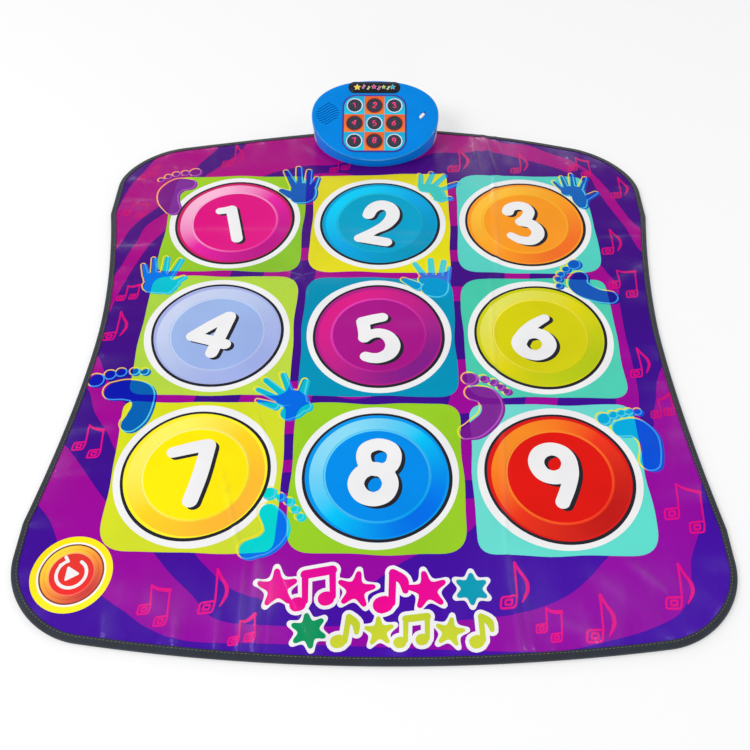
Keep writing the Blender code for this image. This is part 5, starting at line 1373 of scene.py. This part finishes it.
# The face's outline: half its width, the v of its widest place, its reach above and below that, and the power
# that makes its upper part fuller. The outline gets points of its own where the skirt's edge bends
HALF_FACE, FACE_MIDDLE, FACE_UP, FACE_DOWN, FULLNESS = 102.5, 9.5, 63, 82, 0.889
FACE_STEPS, SKIRT_BENDS = 160, (21.5, 29.2)


def lower_edge(v):
    """How deep the shell's wall reaches at v: a short skirt behind, and down to the mat in front."""
    floor_depth = (FLOOR_LINE - FACE_CENTRE.z / MM - v * math.sin(FACE_TILT)) / math.cos(FACE_TILT)
    slope = SKIRT - (SKIRT_TURN - v) * SKIRT_SLOPE
    return max(SKIRT if v >= SKIRT_TURN else slope, floor_depth)


bends = [math.asin(drop / FACE_DOWN) for drop in SKIRT_BENDS]
turns = list(np.linspace(0, 2 * math.pi, FACE_STEPS, endpoint=False))
turns = sorted(turns + [math.pi + a for a in bends] + [2 * math.pi - a for a in bends])


def face_line(inset):
    """The face's outline, moved in by inset: fuller at the top, rounder at the bottom."""
    made = []
    for turn in turns:
        c, s = math.cos(turn), math.sin(turn)
        reach, power = (FACE_UP, FULLNESS) if s > 0 else (FACE_DOWN, 1)
        made.append((math.copysign((HALF_FACE - inset) * abs(c) ** power, c),
                     FACE_MIDDLE + math.copysign((reach - inset) * abs(s) ** power, s)))
    return np.array(made)


def soft_square(half, corner, each=14):
    """The outline of a square with round corners, about the display panel's middle."""
    made = []
    for quarter, (sx, sy) in enumerate(CORNERS):
        for i in range(each + 1):
            a = math.pi / 2 * (quarter + i / each)
            made.append((PANEL_AT[0] + sx * (half - corner) + corner * math.cos(a),
                         PANEL_AT[1] + sy * (half - corner) + corner * math.sin(a)))
    return np.array(made)


def wavy_slot(offset):
    """One slot of the loudspeaker's grille: an S-shaped cut with round ends."""
    span = math.sqrt(GRILLE_REACH * GRILLE_REACH - offset * offset)
    line = [(t, offset + SLOT_WAVE * math.sin(math.pi * t / SLOT_BEND)) for t in np.linspace(-span, span, 15)]
    c, s = math.cos(GRILLE_TURN), math.sin(GRILLE_TURN)
    points = [(GRILLE_AT[0] + x * c - y * s, GRILLE_AT[1] + x * s + y * c, SLOT_HALF) for x, y in line]
    return stroke(points, smooth=False).loops[0]


def capsule(centre, half, radius, angle=0.0, each=12):
    """A pill's outline."""
    c, s = math.cos(math.radians(angle)), math.sin(math.radians(angle))
    made = []
    for end in (0, 1):
        for i in range(each + 1):
            a = -math.pi / 2 + math.pi * (end + i / each)
            x, y = (half - radius) * (1 - 2 * end) + radius * math.cos(a), radius * math.sin(a)
            made.append((centre[0] + x * c - y * s, centre[1] + x * s + y * c))
    return np.array(made)


# On the face: the pitch of the windows, the middles of the panel, the black plate and the switch, and the
# switch's turn in degrees
WINDOW_PITCH, PANEL_AT, BADGE_AT = 32.0, (-1.0, -6.0), (-1.5, 59.0)
SWITCH_AT, SWITCH_TURN = (76.8, 9.1), 48.0
# The grille: its middle, turn and radius, how many slots it has and their pitch. Then a slot's half width, and
# the height and half length of its wave
GRILLE_AT, GRILLE_TURN, GRILLE_REACH, GRILLE_SLOTS, GRILLE_PITCH = (-76.5, 11.5), math.radians(24), 18.5, 8, 4.2
SLOT_HALF, SLOT_WAVE, SLOT_BEND = 1.0, 1.7, 19.5
WINDOWS = [np.array((PANEL_AT[0] + (i % 3 - 1) * WINDOW_PITCH, PANEL_AT[1] + (1 - i // 3) * WINDOW_PITCH))
           for i in range(9)]
print("face", 2 * HALF_FACE, "mm wide with", len(WINDOWS), "windows")


# %% Shell
def ring(mesh, loop, height):
    """The points of an outline at one height, or at a height for each."""
    return [mesh.verts.new((u, v, n)) for (u, v), n in zip(loop, np.broadcast_to(height, len(loop)))]


def walls(mesh, *levels):
    """Bridges ring after ring of one outline."""
    rows = [ring(mesh, *level) for level in levels]
    for upper, lower in zip(rows, rows[1:]):
        for i in range(len(upper)):
            j = (i + 1) % len(upper)
            mesh.faces.new((upper[i], upper[j], lower[j], lower[i]))


def plate(mesh, height, outline, holes=()):
    """Fills a flat outline, leaving its holes open."""
    edges = []
    for loop in (outline, *holes):
        verts = ring(mesh, loop, height)
        edges += [mesh.edges.new((a, b)) for a, b in zip(verts, verts[1:] + verts[:1])]
    bmesh.ops.triangle_fill(mesh, use_beauty=True, use_dissolve=False, edges=edges)


def grown(loop, distance):
    """An outline moved outwards."""
    return loop + outward(loop) * distance


def sewn(mesh, matrix):
    """Joins a mesh's pieces, points its faces outwards and turns it into place."""
    bmesh.ops.remove_doubles(mesh, verts=mesh.verts, dist=0.002)
    bmesh.ops.recalc_face_normals(mesh, faces=mesh.faces)
    bmesh.ops.transform(mesh, matrix=matrix, verts=mesh.verts)


# The rim's rounding, the wall's thickness, the recesses' depth, and each lip as a distance out and a height
ROUND, WALL, RECESS, SHARP_AT = 3.0, 2.4, 0.6, 35
LIP = ((0.45, 0.0), (0.14, -0.1), (0, -0.42))
WINDOW_HOLE = 11.3
curve = [(ROUND * (1 - math.sin(a)), -ROUND * (1 - math.cos(a))) for a in np.linspace(0, math.pi / 2, 9)]
recess, badge_recess = soft_square(51.8, 22.3), capsule(BADGE_AT, 42.3, 10.3)
slots = [wavy_slot(GRILLE_PITCH * (k - (GRILLE_SLOTS - 1) / 2)) for k in range(GRILLE_SLOTS)]
slots.append(capsule(SWITCH_AT, 8.15, 2.8, SWITCH_TURN))
windows = [ring_points(centre, WINDOW_HOLE, 48) for centre in WINDOWS]
shell = bmesh.new()
plate(shell, 0.0, face_line(ROUND), [grown(loop, LIP[0][0]) for loop in (recess, badge_recess, *slots)])
walls(shell, *[(face_line(inset), n) for inset, n in curve])
depths = np.array([lower_edge(v) for u, v in face_line(0)])
outer = [(face_line(0), -ROUND + (depths + ROUND) * t) for t in (0, 0.5, 1)]
walls(shell, *outer, (face_line(WALL), depths), (face_line(WALL), -WALL))
for loop, depth in ((recess, RECESS), (badge_recess, RECESS), *[(slot, WALL) for slot in slots]):
    walls(shell, *[(grown(loop, out), n) for out, n in LIP], (loop, -depth))
plate(shell, -RECESS, recess, windows)
plate(shell, -RECESS, badge_recess)
plate(shell, -WALL, face_line(WALL), windows + slots)
for loop in windows:
    walls(shell, (loop, -RECESS), (loop, -WALL))
sewn(shell, FACE)
print("open edges in the shell:", sum(1 for edge in shell.edges if len(edge.link_faces) != 2))
top_shell = finished("console_shell", shell, SHARP_AT)

# %% [markdown]
# ## Display panel
# A printed plate lies in the shell's recess: nine cells inside a violet border, blue in the corners and the
# middle and orange between. A pale ring lies round the windows of the blue cells, and a dark one round the
# others.

# %% Display panel
DARK_EDGE, NO_SPOTS = (0.012, 0.012, 0.02, 1), np.zeros((0, 2))
PLATE_TOP, PLATE_THICKNESS = 0.3, 0.6
# For the blue and the orange cells: the cell's two shades, the glow round its window, and the ring's shade
# and radius
CELLS = (
    ((0, 196, 226), (0, 164, 206), (0, 150, 200), (206, 228, 240), 13.1),
    ((240, 122, 34), (226, 96, 30), (176, 58, 34), (84, 26, 44), 12.4),
)
HALF_CELL, HALF_CELLS, GLOW_RADIUS, VIOLET_EDGE = WINDOW_PITCH / 2, 49.0, 14.0, (62, 52, 160)


def on_face(name, print_parts, top=PLATE_TOP, thickness=PLATE_THICKNESS, lie=None):
    """A printed piece with dark cut sides, turned into its place on the console."""
    piece = printed_sheet(name, *print_parts, top, thickness, lie, DARK_EDGE)
    piece.data.transform(FACE @ Matrix.Scale(1 / MM, 4))
    return piece


def both(first, second):
    """What lies in both of two shapes."""
    return Shape(first.loops + second.loops, lambda points: first.covers(points) & second.covers(points))


panel_edge = soft_square(51.5, 22.0)
panel_art = [(area(panel_edge), Ink(VIOLET_EDGE))]
for i, centre in enumerate(WINDOWS):
    upper, lower, glow_shade, ring_shade, ring_radius = CELLS[i % 2]
    # An outer cell goes on to the border, so that the outer cells share one rounded outline
    (left, right), (front, rear) = [
        [mid + way * HALF_CELLS if way * (at - mid) > 1 else at + way * HALF_CELL for way in (-1, 1)]
        for at, mid in zip(centre, PANEL_AT)]
    box = area([(left, front), (right, front), (right, rear), (left, rear)])
    panel_art.append((both(box, area(soft_square(48.9, 19.7))), Ink(upper, lower, "up", centre, HALF_CELL)))
    panel_art.append((round_area(centre, GLOW_RADIUS, 48), Ink(glow_shade)))
    panel_art.append((round_area(centre, ring_radius, 48), Ink(ring_shade)))
panel_holes = [round_area(centre, WINDOW_HOLE, 48) for centre in WINDOWS]
display = on_face("display_plate", cut_print(panel_edge, panel_art, NO_SPOTS, panel_holes))

# %% [markdown]
# ## Windows with lit numbers
# Each window is a dark glossy lens, slightly crowned, through which one lit number shows: pink above and red
# below. The number gives light of its own, so that part of the print also feeds the emission.

# %% Windows
LENS_DARK, LENS_RIM, HALO = Ink((30, 36, 56)), Ink((12, 16, 30)), Ink((60, 30, 62))
LENS_RADIUS, LENS_TOP, LENS_THICKNESS, LENS_CROWN = 11.0, 0.15, 2.7, 0.75
DIGIT_SHIFT, DIGIT_SIZE = (0.3, 0.6), 0.122


def crown(centre):
    """How high a lens stands above its edge."""
    return lambda points: LENS_CROWN * (1 - (np.hypot(*(points - centre).T) / LENS_RADIUS) ** 2)


lenses = []
for i, centre in enumerate(WINDOWS):
    lit = Ink((186, 26, 46), (228, 34, 116), "up", centre, 6)
    art = [(round_area(centre, LENS_RADIUS + 0.2, 64), LENS_RIM), (round_area(centre, 10.5, 64), LENS_DARK)]
    art += [(number_on(i, centre + DIGIT_SHIFT, DIGIT_SIZE, grow=grow, step=0.5), ink)
            for grow, ink in ((0.15, HALO), (-0.36, lit))]
    spots = np.concatenate([ring_points(centre, r, 40) for r in (3, 5.5, 8, 9.8)])
    cut = cut_print(ring_points(centre, LENS_RADIUS, 64), art, spots)
    lenses.append(on_face(f"window_{i + 1}", cut, LENS_TOP, LENS_THICKNESS, crown(centre)))

# %% Badge and knob
badge_edge = capsule(BADGE_AT, 42, 10)
pill_art = [(area(badge_edge), Ink((14, 14, 18)))]
PILL_INKS = {
    "yellow": Ink((240, 206, 30)), "pink": Ink((226, 30, 140)),
    "lime": Ink((176, 204, 50)), "teal": Ink((0, 165, 190)),
}
TINY_NOTE = [[(-1.1, -1.6, 1.15), (-0.9, -1.5, 1.15)], [(0.1, -1.4, 0.45), (0.2, 2.2, 0.45)],
             [(0.2, 2.2, 0.6), (1.6, 1.2, 0.6)]]
# What stands on the black pill, from left to right: the motif, x, y, size and ink
PILL_ROW = (
    ("star", -28, 0.4, 5.2, "yellow"), ("note", -17.5, 1.6, 1.2, "pink"), ("note", -9.5, -0.6, 1.1, "lime"),
    ("star", -1.0, 1.4, 3.6, "pink"), ("note", 7.5, -0.8, 1.2, "pink"), ("star", 15.0, 1.0, 3.2, "lime"),
    ("note", 22.5, -0.6, 1.1, "lime"), ("star", 29.5, 1.0, 4.2, "teal"),
)
for border, grow in ((Ink((196, 196, 204)), 0.55), (None, 0.0)):
    for motif, x, y, size, ink in PILL_ROW:
        spot = (BADGE_AT[0] + x, BADGE_AT[1] + y)
        if motif == "star":
            shape = star(spot, size, border=grow)
        else:
            shape = placed(TINY_NOTE, spot, size=size, grow=grow, step=0.5)
        pill_art.append((shape, border or PILL_INKS[ink]))
badge = on_face("badge_plate_printed", cut_print(badge_edge, pill_art, NO_SPOTS))

# The knob's side as distances out from its outline and heights, and how far it stands from its slot's middle
KNOB_SIDE, HALF_TRAVEL = ((-0.5, -4.4), (0, -3.9), (0, 1.2), (-0.18, 1.6), (-0.6, 1.8)), 2.25
knob_mesh, knob_loop = bmesh.new(), capsule((0, 0), 5.5, 2.4, 0, 10)
walls(knob_mesh, *[(grown(knob_loop, out), n) for out, n in KNOB_SIDE])
for out, n in (KNOB_SIDE[0], KNOB_SIDE[-1]):
    plate(knob_mesh, n, grown(knob_loop, out))
for k in (-2.2, 0, 2.2):
    rib = bmesh.ops.create_cube(knob_mesh, size=1.0)["verts"]
    bmesh.ops.scale(knob_mesh, verts=rib, vec=(0.7, 3.0, 0.5))
    bmesh.ops.translate(knob_mesh, verts=rib, vec=(k, 0, 1.9))
slide = math.radians(SWITCH_TURN)
spot = (SWITCH_AT[0] - HALF_TRAVEL * math.cos(slide), SWITCH_AT[1] - HALF_TRAVEL * math.sin(slide), 0)
knob_place = FACE @ Matrix.Translation(spot) @ Matrix.Rotation(slide, 4, "Z")
sewn(knob_mesh, knob_place)
knob = finished("slide_knob", knob_mesh, SHARP_AT)


def thin_disc(name, edge, low, high, matrix):
    """A thin closed plate under the shell's face."""
    mesh = bmesh.new()
    plate(mesh, low, edge)
    plate(mesh, high, edge)
    walls(mesh, (edge, high), (edge, low))
    sewn(mesh, matrix)
    return finished(name, mesh, SHARP_AT)


# A shutter slides with the knob and keeps its slot closed, and a cloth keeps dust off the loudspeaker
shutter = thin_disc("switch_shutter", capsule((0, 0), 10.7, 3.2, 0, 10), -2.64, -2.46, knob_place)
grille_cloth = thin_disc("grille_cloth", ring_points(GRILLE_AT, 21.6, 48), -2.62, -2.48, FACE)

# %% [markdown]
# ## Moulded plastics and the other finishes
# Blue and pale ABS have a fine spark-eroded grain and slightly uneven gloss. The inner parts get the finish
# of what they are: circuit board, paper, steel, rubber, foil-wrapped cells.

# %% Plastics
# The skirt's blue is painted shade: a deeper copy of the face's blue for the walls that lie in shade
FACE_BLUE, SKIRT_SHADE_BLUE = paint(0, 131, 222), paint(0, 141, 255)


def moulded(name, colour, gloss=0.32, grain=0.5, shade_range=0.88, level=0.3):
    """A moulded plastic: a cloudy colour, small scuffs and a fine grain."""
    made = Finish(name, Specular_IOR_Level=level)
    flow = made.ramp(made.noise(22, 3), 0.3, 0.7)
    made.base = made.blend(flow, shade(colour, shade_range), colour)
    made.feed("Base Color", made.base)
    scuff = made.ramp(made.noise(140, 5, (1, 3, 1)), 0.55, 0.72)
    made.feed("Roughness", gloss + 0.05 * flow + 0.08 * scuff)
    made.feed("Normal", made.bump(made.noise(2600, 2), 0.00002, grain))
    return made


console_blue = moulded("console_blue", FACE_BLUE, 0.28, 0.35, 0.92, 0.06)
# How far a spot of the shell lies above its face, in metres
face_middle, face_normal = tuple(FACE.translation), tuple(FACE.col[2].xyz.normalized())
from_face = console_blue.node("ShaderNodeVectorMath", {"operation": "SUBTRACT"},
                              {0: console_blue.object, 1: face_middle})
height = console_blue.node("ShaderNodeVectorMath", {"operation": "DOT_PRODUCT"},
                           {0: from_face, 1: face_normal}, "Value")
# The rounded rim of the face is polished by hands, so it shines more than the face itself
rim = console_blue.ramp(height, -0.0002, -0.0007) * console_blue.ramp(height, -0.0034, -0.0024)
console_blue.feed("Coat Weight", rim)
# The steep skirt under the rim is painted a deeper blue than the face: painted shade with bounced light
skirt = console_blue.ramp(height, -0.003, -0.008)
console_blue.feed("Base Color", console_blue.blend(skirt, console_blue.base, SKIRT_SHADE_BLUE))
console_pale = moulded("console_pale", paint(206, 210, 214), 0.36, 0.4, 0.94)
black_plastic = moulded("black_plastic", paint(24, 24, 28), 0.34)
white_plastic = moulded("white_plastic", paint(232, 232, 230), 0.34, 0.3, 0.95)
rubber = clouded("foot_rubber", paint(26, 27, 30), paint(44, 45, 48), 80, 1500, Roughness=0.75)
paper = clouded("speaker_paper", paint(36, 33, 30), paint(58, 54, 48), 260, 1100, Roughness=0.9)
sleeve = clouded("cell_sleeve", paint(70, 122, 78), paint(98, 156, 104), 14, 1800,
                 Roughness=0.3, Coat_Weight=0.4)
ferrite = clouded("magnet", paint(52, 52, 56), paint(78, 78, 84), 120, 1400, Roughness=0.5, Metallic=0.3)
print("plastics, rubber, paper, foil and ferrite mixed")

# %% Steel, board, print and windows
steel = Finish("steel", Metallic=1.0)
lines = steel.noise(260, 3, (1, 14, 1))
steel.feed("Base Color", steel.blend(lines, paint(150, 152, 156), paint(204, 206, 210)))
steel.feed("Roughness", 0.24 + 0.18 * lines)
steel.feed("Normal", steel.bump(lines, 0.00002, 0.5))

board = Finish("board", Specular_IOR_Level=0.5)
grid = board.node("ShaderNodeTexBrick", {"offset": 0.5}, {
    "Vector": board.object, "Scale": 120.0, "Mortar Size": 0.02,
    "Color1": paint(14, 92, 52), "Color2": paint(18, 104, 60), "Mortar": paint(110, 150, 90),
}, "Color")
board.feed("Base Color", grid)
board.feed("Roughness", 0.34 + 0.1 * board.ramp(board.noise(300, 2), 0.4, 0.6))

display_print = Finish("display_print", Specular_IOR_Level=0.12)
display_ink = display_print.attribute("print")
dust = display_print.ramp(display_print.noise(700, 2), 0.3, 0.75)
display_print.feed("Base Color", display_print.blend(0.015 * dust, display_ink, (0.9, 0.9, 0.95, 1)))
display_print.feed("Roughness", 0.24 + 0.08 * dust)
display_print.feed("Normal", display_print.bump(display_print.noise(1800, 2), 0.00002, 0.4))

window_plastic = Finish("window_plastic", Specular_IOR_Level=0.3, Emission_Strength=0.7)
window_ink = window_plastic.attribute("print")
redness = window_plastic.node("ShaderNodeSeparateColor", {}, {"Color": window_ink}, "Red")
haze = window_plastic.ramp(window_plastic.noise(400, 2), 0.3, 0.75)
window_plastic.feed("Base Color", window_plastic.blend(0.04 * haze, window_ink, (0.5, 0.6, 0.7, 1)))
lit_part = window_plastic.ramp(redness, 0.1, 0.4)
window_plastic.feed("Emission Color", window_plastic.blend(lit_part, (0, 0, 0, 1), window_ink))
window_plastic.feed("Roughness", 0.10 + 0.08 * haze)

blue_cloth = woven("grille_cloth", paint(0, 88, 245), paint(0, 62, 205), 0.0006)
for piece, finish in (
    (top_shell, console_blue), (shutter, console_blue), (grille_cloth, blue_cloth), (display, display_print),
    (badge, display_print), (knob, white_plastic), *[(lens, window_plastic) for lens in lenses],
):
    piece.data.materials.append(finish.material)
print(len(bpy.data.materials), "materials so far")

# %% [markdown]
# ## Finishes of the carried-over parts
# The parts inside the console and under the mat keep their CAD shape. Each gets the finish of its stuff.

# %% Carried-over parts
KEPT = {
    console_pale: ("console_base", "battery_door"), white_plastic: ("light_box",),
    black_plastic: ("switch_body", "tail_connector"),
    steel: ("clamp_plate", "speaker_frame", "clamp_screw_1", "clamp_screw_2", "shell_screw_front_left",
            "shell_screw_front_right", "shell_screw_rear_left", "shell_screw_rear_right", "door_screw",
            "battery_contacts_left", "battery_contacts_right"),
    rubber: ("rubber_foot_left", "rubber_foot_right"), paper: ("speaker_cone",), ferrite: ("speaker_magnet",),
    sleeve: ("battery_1", "battery_2", "battery_3"), board: ("circuit_board",), contact_film: ("film_tail",),
}
for finish, names in KEPT.items():
    for name in names:
        nodes[name].data.materials.clear()
        nodes[name].data.materials.append(finish.material)
print(sum(len(names) for names in KEPT.values()), "parts kept")

# %% [markdown]
# ## What moves with what
# The wings fold under the middle, but here each sheet is only baked in place. The touch discs ride their pads,
# and the knob rides its slide, and the CAD parts that the new pieces stand for are hidden.

# %% Motion
def folded(piece, side):
    """Bakes a sheet's place into its mesh, the same for either wing."""
    if side == "left":
        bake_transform(piece)
    else:
        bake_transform(piece)


COVERED = {"left": ("left",), "right": ("middle", "right")}
BOUND = {"left": ("left",), "right": ("right", "front", "rear")}
for side in ("left", "right"):
    for piece in (covers[f"cover_{side}"], tapes[side], seams[side]):
        folded(piece, side)
    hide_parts(*[f"{part}_printed_cover" for part in COVERED[side]])
    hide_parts(*[f"{edge}_edge_binding" for edge in BOUND[side]])
for sheet in inner_sheets:
    kind, side = sheet.name.rsplit("_", 1)
    folded(sheet, side)
    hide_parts(*[f"{part}_{kind}" for part in COVERED[side]])
for i, disc in enumerate(discs):
    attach(disc, f"pad_{i + 1}" if i < 9 else "pad_start")
    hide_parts(f"touch_pad_{i + 1}" if i < 9 else "start_pad")
for piece, body, node, slot in (
    (top_shell, ROOT, "console_top_shell", "console_blue"), (display, ROOT, "display_panel", "display_print"),
    (badge, ROOT, "badge_plate", "black_plastic"), (knob, "power_knob", "switch_knob", "white_plastic"),
    *[(lens, ROOT, "window_lenses", "window_plastic") for lens in lenses],
):
    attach(piece, body)
    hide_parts(node)
for piece, body in ((grille_cloth, ROOT), (shutter, "power_knob")):
    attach(piece, body)

# %% [markdown]
# ## Cloth sizes
# Each sheet's size, worked out from its own outline, is printed.

# %% Sheets
def flat_area(piece):
    """Area of a sheet's top side, in square metres."""
    mesh = piece.data
    return sum(face.area for face in mesh.polygons if face.normal.z > 0.5)


def declare(piece):
    """Works out a laid sheet's size, and prints it."""
    low, high = [[pick(v.co[k] for v in piece.data.vertices) for k in (0, 1)] for pick in (min, max)]
    size = [high[k] - low[k] for k in (0, 1)]
    min(flat_area(piece), size[0] * size[1])
    print(piece.name, [round(s, 3) for s in size], "m")


for side in ("left", "right"):
    declare(covers[f"cover_{side}"])
for sheet in inner_sheets:
    declare(sheet)
